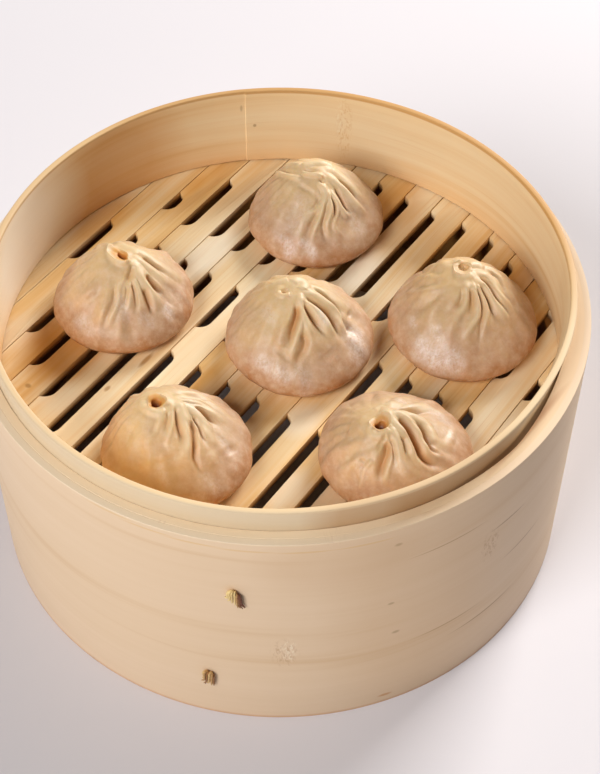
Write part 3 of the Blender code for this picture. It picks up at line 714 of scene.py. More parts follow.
lower_ring = ring_by_hand((LOWER_OUTSIDE, LOWER_OUTSIDE - LOWER_WALL), (LOWER_BOTTOM, 30.0, 50.0, LOWER_TOP),
                          HOOP_SIDES // 2)
bevel_edges(lower_ring, 0.6, 2, 60.0)
bpy.ops.object.shade_smooth_by_angle(angle=math.radians(35.0))

cross_bars = []
for along in BAR_PLACES:
    half = math.sqrt(BAR_REACH ** 2 - (abs(along) + BAR_SIZE[0] / 2) ** 2)
    start_clean()
    centre = on_grate(along, 0.0, LOWER_TOP - BAR_SIZE[1] / 2)
    bpy.ops.mesh.primitive_cube_add(size=1.0, location=centre, rotation=(0.0, 0.0, SLAT_TURN))
    bar = bpy.context.object
    bar.scale = (BAR_SIZE[0] * MM, 2 * half * MM, BAR_SIZE[1] * MM)
    bpy.ops.object.transform_apply(location=True, rotation=True, scale=True)
    bevel_edges(bar, 0.5, 2)
    cross_bars.append(bar)
print("cross bars:", len(cross_bars))

# %% [markdown]
# ## Slats
#
# The grate is a row of planed slats side by side. A round saw was run into one edge of each, so every steam
# slot has a rounded end at both sides and the next slat's straight edge opposite. A slat is a cube at its
# size; a cutter with two rounded corners takes out each slot, and a cylinder trims the ends to the hoop's
# circle.

# %% Sizes of the slats
SLAT_THICKNESS = 3.0
SLAT_END_RADIUS = 94.5
SLAT_GAP = 0.3
SLOT_DEPTH = 3.5
SAW_RADIUS = 4.6
SEAMS = (-84.6, -73.1, -62.5, -50.8, -40.0, -28.2, -16.5, -4.6, 7.1, 19.5, 31.4, 43.1, 54.8, 66.2, 78.5)
FAR_SLOT_OUT = (None, 40.0, 56.0, 66.0, 74.0, 80.0, 86.0, 85.0, 84.0, 85.0, 84.0, 77.0, 66.0, 64.0, 35.0)
FAR_SLOT_IN = (None, 29.0, 26.5, 27.5, 26.0, 26.0, 29.5, 32.0, 31.0, 26.0, 27.0, 27.0, 27.0, 27.0, 24.0)
NEAR_SLOT_OUT = (None, -45.0, -55.5, -64.0, -75.0, -80.0, -84.0, -85.0, -85.0, -84.0, -80.0, -74.0,
                 -66.0, -50.0, None)
MID_SLOT_FAR, MID_SLOT_NEAR, NEAR_SLOT_IN = 12.4, -10.9, -24.0
# How pale each slat is, from the left back to the right front, as the photograph shows them
SLAT_TONES = (0.62, 0.68, 0.40, 0.60, 0.75, 0.70, 0.65, 0.50, 0.71, 0.60, 0.61, 0.70, 0.70, 0.50, 0.68, 0.50)


def slots_at(seam):
    """Slots sawn at one seam, as (near end, far end) along the slats."""
    tilt = SEAMS[seam] / OUTER_RADIUS
    slots = []
    if NEAR_SLOT_OUT[seam] is not None:
        slots.append((NEAR_SLOT_OUT[seam], NEAR_SLOT_IN - 1.2 * tilt))
    if seam < len(SEAMS) - 1:
        slots.append((MID_SLOT_NEAR - 1.2 * tilt, MID_SLOT_FAR - 1.9 * tilt))
    if FAR_SLOT_OUT[seam] is not None:
        slots.append((FAR_SLOT_IN[seam], FAR_SLOT_OUT[seam]))
    return slots


print("slots:", sum(len(slots_at(seam)) for seam in range(len(SEAMS))))

# %% Model the slats


def block(along_from, along_to, across_from, across_to, low, high):
    """A cube primitive between two places on the grate."""
    start_clean()
    centre = on_grate((along_from + along_to) / 2, (across_from + across_to) / 2, (low + high) / 2)
    bpy.ops.mesh.primitive_cube_add(size=1.0, location=centre, rotation=(0.0, 0.0, SLAT_TURN))
    made = bpy.context.object
    made.scale = ((along_to - along_from) * MM, (across_to - across_from) * MM, (high - low) * MM)
    bpy.ops.object.transform_apply(location=False, rotation=False, scale=True)
    return made


def subtract(thing, cutter, operation="DIFFERENCE"):
    """Cut one object with another and remove the cutter."""
    cut = thing.modifiers.new("cut", "BOOLEAN")
    cut.operation = operation
    cut.solver = "EXACT"
    cut.object = cutter
    apply_all(thing)
    bpy.data.objects.remove(cutter, do_unlink=True)


def slot_cutter(near, far, edge):
    """A block with two rounded upright edges on its deep side, as the round saw leaves."""
    reach = SAW_RADIUS - math.sqrt(SAW_RADIUS ** 2 - (SAW_RADIUS - SLOT_DEPTH) ** 2)
    made = block(near - reach, far + reach, edge + SLOT_DEPTH - SAW_RADIUS, edge + SLOT_DEPTH,
                 GRATE_TOP - 2 * SLAT_THICKNESS, GRATE_TOP + SLAT_THICKNESS)
    only(made)
    bpy.ops.object.mode_set(mode="EDIT")
    bpy.ops.mesh.select_mode(type="EDGE")
    bpy.ops.mesh.select_all(action="DESELECT")
    bpy.ops.object.mode_set(mode="OBJECT")
    for line in made.data.edges:
        ends = [made.data.vertices[i].co for i in line.vertices]
        line.select = abs(ends[0].z - ends[1].z) > MM and all(end.y < 0.0 for end in ends)
    bpy.ops.object.mode_set(mode="EDIT")
    bpy.ops.mesh.bevel(offset=min(SAW_RADIUS, (far - near) / 2) * 0.995 * MM, segments=7)
    bpy.ops.object.mode_set(mode="OBJECT")
    return made


def model_slat(number):
    """One slat: a block, its slots sawn out, its ends trimmed to the circle, its edges eased."""
    low = SEAMS[number - 1] + SLAT_GAP / 2 if number > 0 else -SLAT_END_RADIUS
    high = SEAMS[number] - SLAT_GAP / 2 if number < len(SEAMS) else SLAT_END_RADIUS
    slat = block(-SLAT_END_RADIUS - 1, SLAT_END_RADIUS + 1, low, high, GRATE_TOP - SLAT_THICKNESS, GRATE_TOP)
    if number > 0:
        for near, far in slots_at(number - 1):
            subtract(slat, slot_cutter(near, far, low))
    start_clean()
    bpy.ops.mesh.primitive_cylinder_add(vertices=HOOP_SIDES, radius=SLAT_END_RADIUS * MM, depth=30 * MM,
                                        location=(0.0, 0.0, GRATE_TOP * MM))
    subtract(slat, bpy.context.object, "INTERSECT")
    bevel_edges(slat, 0.28, 2)
    only(slat)
    bpy.ops.object.transform_apply(location=True, rotation=True, scale=True)
    bpy.ops.object.shade_smooth_by_angle(angle=math.radians(30.0))
    return slat


slats = [model_slat(number) for number in range(len(SEAMS) + 1)]
print("slats:", len(slats))

# %% [markdown]
# ## Cane stitches
#
# Two tufts of split cane stitch the outer hoop together. Each comes out of a small drilled hole, and its
# frayed strands are bent down over the wall. The strands are curves with a little thickness, made into one
# mesh.

# %% Model the stitches


def give_tone(thing, value):
    """Store how pale a piece of bamboo is, for its material."""
    tone = thing.data.attributes.new("tone", "FLOAT", "POINT")
    tone.data.foreach_set("value", [value] * len(thing.data.vertices))


STITCHES = {"stitch_upper": (-98.0, 69.4), "stitch_lower": (-103.6, 22.0)}
STRAND_WIDTH = 0.5
HOLE_RADIUS = 1.7
# Each strand: sideways place, where it ends sideways, how far it rises and hangs, how far it stands off the
# wall, how thick it is and how pale
STRANDS = {
    "stitch_upper": ((-1.7, -3.0, 3.8, -0.6, 0.68, 0.8, 1.0), (-1.1, -2.2, 4.3, 1.0, 0.94, 0.7, 0.9),
                     (-0.6, -0.9, 4.1, 2.1, 1.1, 0.8, 0.75), (0.1, -0.1, 3.9, 3.3, 1.02, 0.6, 0.95),
                     (0.5, 0.8, 3.0, 4.5, 0.85, 0.8, 0.55), (1.0, 2.9, 2.4, 4.0, 0.77, 1.0, 0.0),
                     (0.7, 2.2, 1.8, 4.6, 1.02, 0.7, 0.15), (-0.1, 1.5, 1.2, 4.8, 0.59, 0.6, 0.4)),
    "stitch_lower": ((-1.0, -2.0, 3.9, 0.6, 0.68, 0.8, 0.7), (-0.5, -2.3, 4.1, 2.2, 0.94, 0.7, 0.55),
                     (0.3, -1.6, 3.8, 3.6, 1.02, 0.6, 0.3), (0.9, -0.4, 3.7, 3.0, 1.1, 0.9, 0.65),
                     (1.4, 0.9, 3.3, 3.9, 0.94, 0.9, 0.55), (1.8, 1.7, 2.2, 4.1, 0.68, 0.8, 0.3),
                     (-0.6, -1.1, 1.0, 4.3, 0.59, 0.5, 0.0)),
}


def model_stitch(name, angle_deg, height):
    """Bend each strand from inside the hole out and down, then join them into one mesh."""
    turn = math.radians(angle_deg)
    outwards = Vector((math.cos(turn), math.sin(turn), 0.0))
    sideways = Vector((-math.sin(turn), math.cos(turn), 0.0))
    strands = []
    for start, end, rise, hang, proud, size, pale in STRANDS[name]:
        start_clean()
        line = bpy.data.curves.new("strand", "CURVE")
        line.dimensions = "3D"
        line.bevel_depth = STRAND_WIDTH * size * MM
        line.bevel_resolution = 2
        line.use_fill_caps = True
        spline = line.splines.new("BEZIER")
        stops = ((97.0, start * 0.4, 0.0, 1.0), (100.3, start * 0.7, 0.6, 1.0),
                 (100.3 + 0.7 * proud, start * 0.95, rise, 1.0),
                 (100.2 + proud, (2.0 * start + end) / 3, rise * 0.25, 1.0),
                 (100.2 + proud * 0.8, (start + end) / 2, -hang * 0.55, 0.85),
                 (100.3 + proud * 0.45, end, -hang, 0.4))
        spline.bezier_points.add(len(stops) - 1)
        for knot, (radius, across, up, thick) in zip(spline.bezier_points, stops):
            knot.co = (outwards * radius + sideways * across + Vector((0.0, 0.0, height + up))) * MM
            knot.radius = thick
            knot.handle_left_type = knot.handle_right_type = "AUTO"
        spline.resolution_u = 6
        strand = bpy.data.objects.new("strand", line)
        bpy.context.scene.collection.objects.link(strand)
        only(strand)
        bpy.ops.object.convert(target="MESH")
        give_tone(bpy.context.object, pale)
        strands.append(bpy.context.object)
    start_clean()
    for strand in strands:
        strand.select_set(True)
    bpy.context.view_layer.objects.active = strands[0]
    bpy.ops.object.join()
    return bpy.context.object


stitches = {}
for stitch, (angle, height) in STITCHES.items():
    start_clean()
    middle = Vector(on_circle(OUTER_RADIUS - OUTER_WALL / 2, angle, height)) * MM
    bpy.ops.mesh.primitive_cylinder_add(vertices=20, radius=HOLE_RADIUS * MM, depth=4 * OUTER_WALL * MM,
                                        location=middle, rotation=(0.0, math.pi / 2, math.radians(angle)))
    subtract(outer_hoop, bpy.context.object)
    stitches[stitch] = model_stitch(stitch, angle, height)
print("strands:", {name: len(strands) for name, strands in STRANDS.items()})

# %% [markdown]
# ### Dry cane
#
# The strands are split from the cane's skin with a knife. To the eye they are straw-coloured where the skin
# shows and brown where the broken fibres of the inside do, with no shine, so each strand has its own place
# between the two and fine noise breaks it up.

# %% Cane material
HUSK_MM = 0.8
cane, tree, shader = new_material("dry_split_cane")
pale = add(tree, "ShaderNodeAttribute", {"attribute_name": "tone"})
husk = add(tree, "ShaderNodeTexNoise", {"Scale": 1000 / HUSK_MM, "Detail": 2.0},
           {"Vector": add(tree, "ShaderNodeTexCoord").outputs["Object"]})
mixed = add(tree, "ShaderNodeMath", {"operation": "MULTIPLY_ADD", 1: 0.3},
            {0: husk.outputs["Fac"], 2: pale.outputs["Fac"]})
shades = add(tree, "ShaderNodeValToRGB", {"stops": [(0.15, "6B3A1F"), (0.6, "A9753F"), (1.0, "E8CC8C")]},
             {"Fac": mixed.outputs["Value"]})
tree.links.new(shades.outputs["Color"], shader.inputs["Base Color"])
shader.inputs["Roughness"].default_value = 0.6
print("material:", cane.name)

# %% [markdown]
# ## Dumplings
#
# A soup dumpling is a round of thin dough pleated shut over its filling. The pleats start at the twist of
# the crown as narrow ropes, run down with a slight swirl and fade into the smooth belly. The dough is a
# fine flat grid whose rows are rolled round to the dumpling's profile, and each crease is cut into it along
# its own line.

# %% Dumpling sizes
# Height fraction and radius fraction from the middle of the foot over the belly up to the crown
BODY_KNOTS = ((0.0, 0.0), (0.0, 0.40), (0.0, 0.74), (0.018, 0.845), (0.08, 0.925), (0.2, 1.0), (0.35, 0.94),
              (0.5, 0.80), (0.65, 0.658), (0.78, 0.492), (0.88, 0.345), (0.95, 0.226))
# The crown either ends in a lip round a hole or is folded shut
OPEN_CROWN = BODY_KNOTS + ((0.985, 0.13), (0.968, 0.1), (0.92, 0.085), (0.865, 0.055), (0.84, 0.0))
SHUT_CROWN = BODY_KNOTS + ((0.985, 0.155), (0.998, 0.07), (1.0, 0.0))
LIP_KNOT = 12
DOUGH_COLUMNS = 460
DOUGH_RINGS = 170
FOOT_HEIGHT = GRATE_TOP + 0.05
# Each crease at the back: its angle at the crown, its angle lower down, its depth in mm and the height
# fraction where it fades out
DUMPLINGS = {
    "dumpling_1": dict(
        centre=DUMPLING_PLACES[0], radius=23.9, height=25.5, lean=(-1.0, 4.4), hole=None,
        creases=[(-24, -22, 1.0, .60), (-41, -48, 2.2, .62), (-57, -66, 1.6, .62), (-67, -82, 1.8, .48),
                 (-85, -101, 2.0, .45), (-105, -122, .8, .50), (-130, -143, .8, .50), (-158, -160, .9, .55),
                 (-188, -192, 1.1, .50), (-210, -218, 1.2, .50), (-235, -242, 1.2, .50),
                 (-262, -266, 1.2, .50), (-290, -292, 1.2, .50), (-320, -318, 1.1, .50),
                 (-352, -350, .8, .55)]),
    "dumpling_2": dict(
        centre=DUMPLING_PLACES[1], radius=23.7, height=25.3, lean=(-0.5, 1.7),
        hole=(1.3, -0.6), hole_radius=1.1, depth=0.7, throat=0.65, slit=(1.8, -48.0),
        creases=[(11, -2, 1.8, .70), (-27, -30, 2.4, .58), (-51, -55, 2.6, .48), (-62, -74, 1.4, .60),
                 (-74, -86, 1.0, .60), (-93, -101, 1.0, .42), (-112, -120, .7, .40), (-130, -138, .7, .40),
                 (-150, -156, .7, .40), (-172, -175, .8, .45), (-198, -196, 1.0, .50), (-228, -226, 1.2, .50),
                 (-258, -256, 1.2, .50), (-290, -288, 1.2, .50), (-320, -322, 1.2, .50)]),
    "dumpling_3": dict(
        centre=DUMPLING_PLACES[2], radius=24.6, height=27.0, lean=(-3.6, 2.8), hole=None,
        creases=[(5, -6, 1.4, .66), (-12, -20, 1.0, .52), (-26, -36, 2.4, .55), (-56, -50, 2.4, .66),
                 (-63, -95, 1.6, .50), (-76, -118, 2.6, .62), (-102, -130, 1.0, .60), (-128, -148, .7, .50),
                 (-152, -166, .7, .50), (-175, -182, .8, .50), (-205, -208, 1.0, .50), (-235, -236, 1.2, .50),
                 (-265, -266, 1.2, .50), (-295, -296, 1.2, .50), (-325, -330, 1.2, .50)]),
    "dumpling_4": dict(
        centre=DUMPLING_PLACES[3], radius=24.8, height=26.5, lean=(-1.2, 6.1),
        hole=(0.3, 0.2), hole_radius=1.7, depth=0.45, throat=0.06,
        creases=[(-14, -16, 1.6, .70), (-28, -37, 1.8, .55), (-58, -53, 1.7, .60), (-67, -80, 1.8, .48),
                 (-80, -92, 1.8, .66), (-94, -116, .9, .60), (-108, -142, 1.0, .60), (-134, -175, 1.0, .55),
                 (-166, -202, 1.2, .45), (-195, -232, 1.6, .50), (-222, -254, 1.3, .50),
                 (-250, -278, 1.2, .50), (-278, -302, 1.2, .50), (-308, -325, 1.2, .50),
                 (-338, -349, 1.2, .55)]),
    "dumpling_5": dict(
        centre=DUMPLING_PLACES[4], radius=23.6, height=25.6, lean=(-6.1, 4.2),
        hole=(0.0, -0.8), hole_radius=1.65, depth=0.8,
        creases=[(7, -8, 1.8, .65), (-21, -43, 1.6, .62), (-32, -62, 2.4, .46), (-45, -84, 2.0, .62),
                 (-57, -100, 1.0, .70), (-72, -118, 1.6, .70), (-94, -136, .6, .60), (-115, -152, .6, .60),
                 (-142, -170, .6, .60), (-167, -188, .7, .55), (-195, -212, .9, .50), (-225, -238, 1.1, .50),
                 (-255, -264, 1.2, .50), (-288, -294, 1.2, .50), (-322, -328, 1.2, .50)]),
    "dumpling_6": dict(
        centre=DUMPLING_PLACES[5], radius=24.2, height=25.5, lean=(-6.4, -4.8),
        hole=(0.2, -0.8), hole_radius=1.65, depth=0.85,
        creases=[(32, 38, 1.6, .60), (4, -22, 2.2, .50), (-16, -50, 3.0, .60), (-47, -68, 1.0, .70),
                 (-66, -92, .9, .62), (-80, -106, 1.6, .52), (-98, -124, 1.2, .45), (-118, -141, .7, .50),
                 (-140, -158, .6, .50), (-162, -178, .8, .55), (-188, -202, .9, .50), (-218, -230, 1.1, .50),
                 (-248, -256, 1.2, .50), (-276, -282, 1.2, .50), (-302, -302, 1.2, .50)]),
}
FOLD_TOP, FOLD_LOW = 0.88, 0.50
print("dumplings to roll:", len(DUMPLINGS))

# %% [markdown]
# ### Pleats drawn from the photograph
#
# Each line below is one feature of the dough, drawn over the photograph: what it is, how wide it is
# to each side and how high it stands, both in mm, and the pixels that it runs through. A rope is the
# rounded ridge of a pleat, a crease the sharp valley beside it, a lip the edge of the crown, and a swell a
# soft rise or, when negative, a soft hollow. A wet patch has no height but a strength between 0 and 1.
# Where a line of sight through such a pixel meets the dumpling, the feature lies, so the camera places it
# on the dough.

# %% Pleats of each dumpling
# A wet patch makes the dough glossier and also carries a painted whitish sheen
STROKES = {
    "dumpling_1": [
        ("lip", 1, 1, (277, 174), (285, 175), (293, 177), (300, 178)),
        ("crease", 0.8, 0.9, (281, 171), (290, 172), (298, 174)),
        ("lip", 1, 1, (303, 172), (310, 174), (317, 175), (323, 177)),
        ("crease", 0.9, 1, (303, 170), (311, 171), (320, 171)),
        ("lip", 1.6, 0.8, (286, 168), (293, 165), (300, 165)),
        ("lip", 1.8, 0.9, (302, 166), (312, 163), (324, 163), (333, 167)),
        ("rope", 1.1, 0.9, (321, 185), (325, 191), (325, 198), (323, 207), (320, 217), (315, 228),
         (312, 239), (311, 246)),
        ("rope", 0.9, 0.8, (327, 191), (330, 198), (331, 206), (330, 215), (327, 224), (328, 233),
         (330, 240)),
        ("rope", 1, 0.8, (331, 193), (336, 200), (341, 208), (347, 215), (355, 218)),
        ("rope", 0.6, 0.5, (334, 196), (338, 204), (338, 213), (335, 221), (334, 227), (339, 233),
         (346, 237)),
        ("rope", 1.5, 1, (331, 178), (340, 187), (347, 194), (352, 202), (359, 208), (368, 215)),
        ("rope", 1.8, 0.7, (330, 169), (338, 174), (346, 181), (353, 188), (359, 195), (364, 202)),
        ("rope", 1.6, 0.5, (320, 204), (312, 212), (305, 220), (300, 230), (297, 240)),
        ("crease", 0.9, 1.6, (336, 189), (340, 196), (343, 203), (347, 209), (353, 214)),
        ("crease", 0.7, 1.2, (331, 197), (334, 204), (335, 212), (335, 219), (338, 226)),
        ("crease", 0.8, 0.9, (326, 203), (325, 212), (323, 222), (323, 231), (326, 240)),
        ("crease", 1, 1.1, (320, 198), (317, 204), (312, 209), (306, 213)),
        ("crease", 1.3, 0.9, (318, 212), (313, 222), (308, 232), (306, 240)),
        ("crease", 0.8, 0.8, (339, 181), (347, 188), (354, 196), (361, 204)),
        ("crease", 1, 1.2, (322, 180), (322, 184)),
        ("swell", 3, 0.35, (297, 199), (288, 206), (280, 213), (274, 223)),
        ("swell", 3, -0.4, (300, 206), (291, 213), (284, 221)),
        ("swell", 4, -0.5, (293, 190), (285, 196), (272, 198)),
        ("swell", 3.5, -0.6, (308, 186), (304, 192)),
        ("swell", 4, 0.5, (285, 232), (292, 245)),
        ("swell", 4.5, -0.5, (345, 222), (355, 226)),
        ("wet", 2, 0.9, (283, 240), (288, 245), (290, 250)),
        ("wet", 1.6, 0.9, (303, 242), (309, 248), (314, 253)),
        ("wet", 3.5, 0.4, (300, 205), (296, 225)),
        ("wet", 3, 0.5, (352, 215), (360, 228)),
    ],
    "dumpling_2": [
        ("lip", 1.3, 1.1, (109, 245.5), (109, 248), (112, 255), (118, 261), (125, 263), (131, 260)),
        ("lip", 1.6, 0.7, (116, 243), (126, 246), (134, 250), (139, 256)),
        ("rope", 2.4, 1, (134, 264), (139, 272), (145, 281), (149, 290), (153, 299), (158, 308),
         (161, 313)),
        ("rope", 1.5, 0.8, (137, 259), (145, 265), (153, 271), (161, 278), (169, 286)),
        ("rope", 1.8, 0.7, (134, 249), (145, 255), (155, 262), (165, 269), (175, 276), (185, 283)),
        ("rope", 0.9, 0.6, (134, 279), (138, 288), (140, 297), (141, 306), (140, 315)),
        ("rope", 0.8, 0.5, (129, 284), (130, 293), (129, 303), (126, 313)),
        ("rope", 1, 0.6, (122, 281), (118, 290), (118, 300), (115, 310), (110, 321), (106, 332)),
        ("crease", 1.4, 1.9, (144, 289), (148, 299), (151, 308), (151, 317)),
        ("crease", 1.4, 1.9, (146, 275), (151, 283), (157, 290), (163, 296)),
        ("crease", 0.9, 1, (143, 258), (152, 264), (160, 270), (168, 275)),
        ("crease", 1.2, 1.4, (132, 266), (131, 273), (128, 280), (126, 287)),
        ("crease", 0.8, 0.9, (132, 285), (135, 295), (136, 305), (134, 313)),
        ("crease", 0.7, 0.6, (127, 285), (127, 295), (124, 305)),
        ("crease", 1.2, 0.7, (115, 288), (114, 298), (110, 309), (105, 320), (102, 331)),
        ("swell", 2, 0.45, (107, 291), (99, 302), (90, 313), (80, 323), (72, 332)),
        ("swell", 1.8, 0.4, (103, 285), (92, 292), (80, 301), (67, 313)),
        ("swell", 1.6, -0.4, (104, 297), (94, 309), (84, 320), (76, 328)),
        ("swell", 1.6, -0.4, (104, 288), (92, 298), (80, 307), (68, 318)),
        ("swell", 1.7, 0.35, (108, 303), (102, 315), (97, 328)),
        ("swell", 1.5, 0.3, (123, 312), (122, 325), (121, 336)),
        ("swell", 2.2, -0.3, (100, 277), (85, 281), (70, 288)),
        ("swell", 3, 0.5, (95.5, 248), (100, 246)),
        ("swell", 4, 0.4, (168, 312), (172, 305)),
        ("swell", 4, -0.4, (164, 298), (171, 294)),
        ("wet", 1.8, 1, (166, 310), (170, 315)),
        ("wet", 2, 0.6, (120, 300), (124, 315)),
        ("wet", 2.5, 0.5, (80, 320), (90, 330)),
        ("wet", 2.2, 0.5, (142, 318), (150, 322)),
    ],
    "dumpling_3": [
        ("lip", 1.6, 0.9, (272, 284), (280, 281), (288, 279)),
        ("lip", 2.2, 1.2, (292, 283), (299, 280), (305, 285), (303, 291)),
        ("lip", 1, 0.6, (276, 292), (283, 295), (290, 294)),
        ("crease", 0.9, 1.4, (281, 291), (285, 290), (289, 288)),
        ("rope", 1.3, 1, (301, 297), (301, 305), (303, 314), (306, 323), (309, 332), (311, 341)),
        ("rope", 1.2, 0.8, (302, 318), (300, 329), (296, 340), (292, 350), (289, 361)),
        ("rope", 1.9, 1.2, (307, 303), (314, 309), (320, 315), (326, 322), (331, 330), (336, 338)),
        ("rope", 1.7, 1, (306, 292), (315, 296), (325, 302), (334, 309), (340, 317), (344, 326),
         (347, 335)),
        ("rope", 1.8, 0.6, (310, 287), (322, 292), (334, 299), (345, 307), (354, 314)),
        ("crease", 1.6, 2.2, (298, 306), (297, 315), (294, 324), (291, 332), (290, 342), (292, 348)),
        ("crease", 1.5, 1.5, (303, 334), (306, 341), (304, 349), (299, 357), (296, 366), (295, 373)),
        ("crease", 1.3, 1.7, (304, 305), (309, 313), (314, 320), (319, 327), (326, 333)),
        ("crease", 1.3, 1.7, (305, 298), (313, 303), (322, 309), (329, 315), (334, 323), (338, 331),
         (342, 340)),
        ("crease", 0.9, 1.1, (312, 288), (320, 294), (329, 301), (337, 308), (342, 315), (346, 325),
         (352, 333)),
        ("swell", 2.2, -0.8, (349, 312), (353, 316)),
        ("swell", 2, -0.7, (348, 328), (352, 332)),
        ("swell", 2.5, -0.5, (291, 302), (285, 313), (278, 323), (270, 329)),
        ("swell", 2, 0.4, (296, 302), (290, 313), (285, 325), (278, 336)),
        ("swell", 4, -0.3, (262, 300), (255, 312)),
        ("swell", 4, 0.4, (362, 342), (357, 352)),
        ("swell", 4.5, -0.4, (326, 352), (332, 360)),
        ("swell", 3, -0.5, (285, 349), (279, 357)),
        ("wet", 1.6, 1, (318, 312), (324, 322)),
        ("wet", 4.6, 1, (355, 336.5), (360, 350.5)),
        ("wet", 2.6, 0.8, (262, 362), (274, 370), (284, 376)),
        ("wet", 2.4, 0.5, (266, 310), (270, 318)),
        ("wet", 2.6, 0.6, (300, 372), (306, 380)),
    ],
    "dumpling_4": [
        ("lip", 1.4, 0.6, (458.5, 258.5), (455, 263), (455, 269), (459, 274), (466, 276), (474, 274)),
        ("lip", 2, 0.8, (470, 262), (478, 264), (484, 268)),
        ("swell", 3, 0.8, (437, 266), (447, 265)),
        ("crease", 0.9, 0.6, (453, 262), (453, 270), (457, 276)),
        ("swell", 2.4, -0.6, (435, 272), (442, 274)),
        ("rope", 1.2, 0.7, (467, 284), (466, 294), (465, 303), (461, 313), (456, 322), (454, 333)),
        ("rope", 1.2, 0.9, (473, 287), (476, 296), (478, 306), (478, 316), (472, 325), (467, 336),
         (465, 345)),
        ("rope", 0.9, 0.8, (477, 286), (481, 294), (485, 303), (487, 312), (486, 321), (485, 330)),
        ("rope", 1.5, 1, (480, 283), (487, 290), (493, 299), (499, 308), (505, 316), (513, 322)),
        ("rope", 1.7, 0.9, (482, 273), (490, 279), (496, 286), (500, 294), (506, 303), (513, 312)),
        ("rope", 1.8, 0.6, (484, 266), (493, 271), (501, 279), (507, 287)),
        ("crease", 1.1, 1.5, (472, 290), (473, 299), (472, 308), (469, 316)),
        ("crease", 0.8, 1.4, (477, 289), (480, 297), (482, 306), (482, 316), (481, 326), (480, 336),
         (480, 343)),
        ("crease", 0.9, 1.2, (480, 286), (485, 294), (490, 304), (494, 314), (499, 323)),
        ("crease", 1.1, 1.1, (480, 277), (487, 284), (492, 292), (498, 301), (504, 309)),
        ("crease", 0.9, 0.8, (490, 272), (498, 279), (503, 287), (508, 296)),
        ("crease", 1.4, 0.9, (464, 290), (462, 299), (457, 307), (449, 312), (441, 317)),
        ("swell", 2, -0.6, (464, 312), (460, 322), (458, 332)),
        ("swell", 1.8, 0.5, (450, 286), (438, 289), (425, 292), (410, 296)),
        ("swell", 1.8, -0.4, (448, 281), (432, 284), (415, 287)),
        ("swell", 2, 0.5, (447, 299), (438, 304), (430, 312), (424, 320)),
        ("swell", 1.8, -0.4, (446, 293), (434, 299), (423, 307), (412, 314)),
        ("swell", 1.8, 0.4, (448, 279), (435, 278), (420, 277)),
        ("swell", 3, 0.4, (438, 330), (439, 345)),
        ("swell", 2.5, 0.4, (456, 318), (454, 330)),
        ("wet", 1.4, 0.9, (412, 320), (414, 325)),
        ("wet", 2, 0.8, (436, 330), (442, 350)),
        ("wet", 2.4, 0.8, (420, 342), (430, 348)),
        ("wet", 1.8, 0.9, (455, 351), (458, 361)),
        ("wet", 4.2, 0.9, (424, 352), (438, 360), (452, 364)),
    ],
    "dumpling_5": [
        ("lip", 1.2, 0.9, (143, 399), (143, 405), (149, 410), (158, 412), (166, 410)),
        ("lip", 2.4, 0.7, (163, 392), (168, 398), (170, 405)),
        ("rope", 0.9, 0.8, (172, 404), (173, 413), (172, 423), (169, 433), (167, 442), (167, 450)),
        ("rope", 1.9, 1.2, (178, 403), (182, 411), (185, 420), (188, 430), (188, 440), (187, 450),
         (185, 458), (182, 467)),
        ("rope", 0.9, 0.6, (191, 416), (195, 425), (197, 434), (199, 443), (202, 451)),
        ("rope", 1.9, 1, (184, 404), (192, 410), (199, 417), (205, 426), (210, 434), (215, 442)),
        ("rope", 1.2, 0.8, (187, 402), (198, 406), (208, 411), (217, 417), (225, 424)),
        ("rope", 1.2, 0.7, (178, 396), (192, 399), (205, 404), (217, 410), (229, 418)),
        ("rope", 1.3, 0.6, (176, 390), (190, 393), (204, 398), (218, 405)),
        ("rope", 0.9, 0.5, (163, 412), (160, 422), (156, 431), (151, 439), (150, 447)),
        ("crease", 1, 1.1, (168, 412), (168, 420), (166, 429), (162, 437)),
        ("crease", 1.3, 1.6, (176, 408), (177, 418), (179, 428), (182, 437), (181, 447), (180, 457)),
        ("crease", 1.4, 2, (191, 420), (192, 430), (193, 440), (194, 450), (195, 460), (199, 469),
         (207, 476)),
        ("crease", 0.8, 1.3, (193, 417), (198, 425), (201, 433), (204, 442)),
        ("crease", 1.1, 1.6, (195, 407), (203, 413), (210, 419), (217, 426)),
        ("crease", 0.7, 0.8, (180, 401), (190, 404), (201, 407), (212, 413)),
        ("crease", 0.7, 0.8, (186, 396), (198, 400), (209, 406), (220, 413)),
        ("crease", 0.7, 0.8, (182, 388), (193, 391), (205, 396), (214, 401)),
        ("swell", 2, -0.4, (158, 425), (155, 434), (152, 441)),
        ("swell", 2, 0.35, (147, 428), (143, 440), (141, 451)),
        ("swell", 3.5, 0.5, (160, 450), (165, 460)),
        ("swell", 4, 0.5, (208, 452), (215, 466)),
        ("swell", 3.5, -0.5, (228, 446), (233, 455)),
        ("swell", 4, 0.4, (238, 468), (233, 478)),
        ("wet", 2.4, 0.5, (206, 480), (216, 488)),
        ("wet", 1.8, 0.5, (160, 470), (168, 480)),
        ("wet", 2, 0.6, (190, 405), (196, 410)),
        ("wet", 1.6, 0.5, (222, 440), (228, 450)),
    ],
    "dumpling_6": [
        ("lip", 1.3, 0.9, (371, 424), (372, 431), (378, 435), (385, 434), (389, 428)),
        ("lip", 1.5, 0.7, (374, 410), (381, 407), (387, 411)),
        ("rope", 1.8, 1.3, (386, 411), (392, 419), (399, 427), (406, 436), (412, 446), (417, 456),
         (423, 464), (432, 469)),
        ("rope", 1.5, 1.1, (393, 413), (404, 418), (412, 425), (418, 433), (422, 442), (427, 451),
         (434, 458), (443, 463)),
        ("rope", 1.7, 1, (398, 412), (412, 417), (423, 422), (430, 429), (434, 438), (441, 445),
         (452, 448)),
        ("rope", 2, 0.8, (387, 404), (402, 405), (418, 407), (434, 410), (447, 416)),
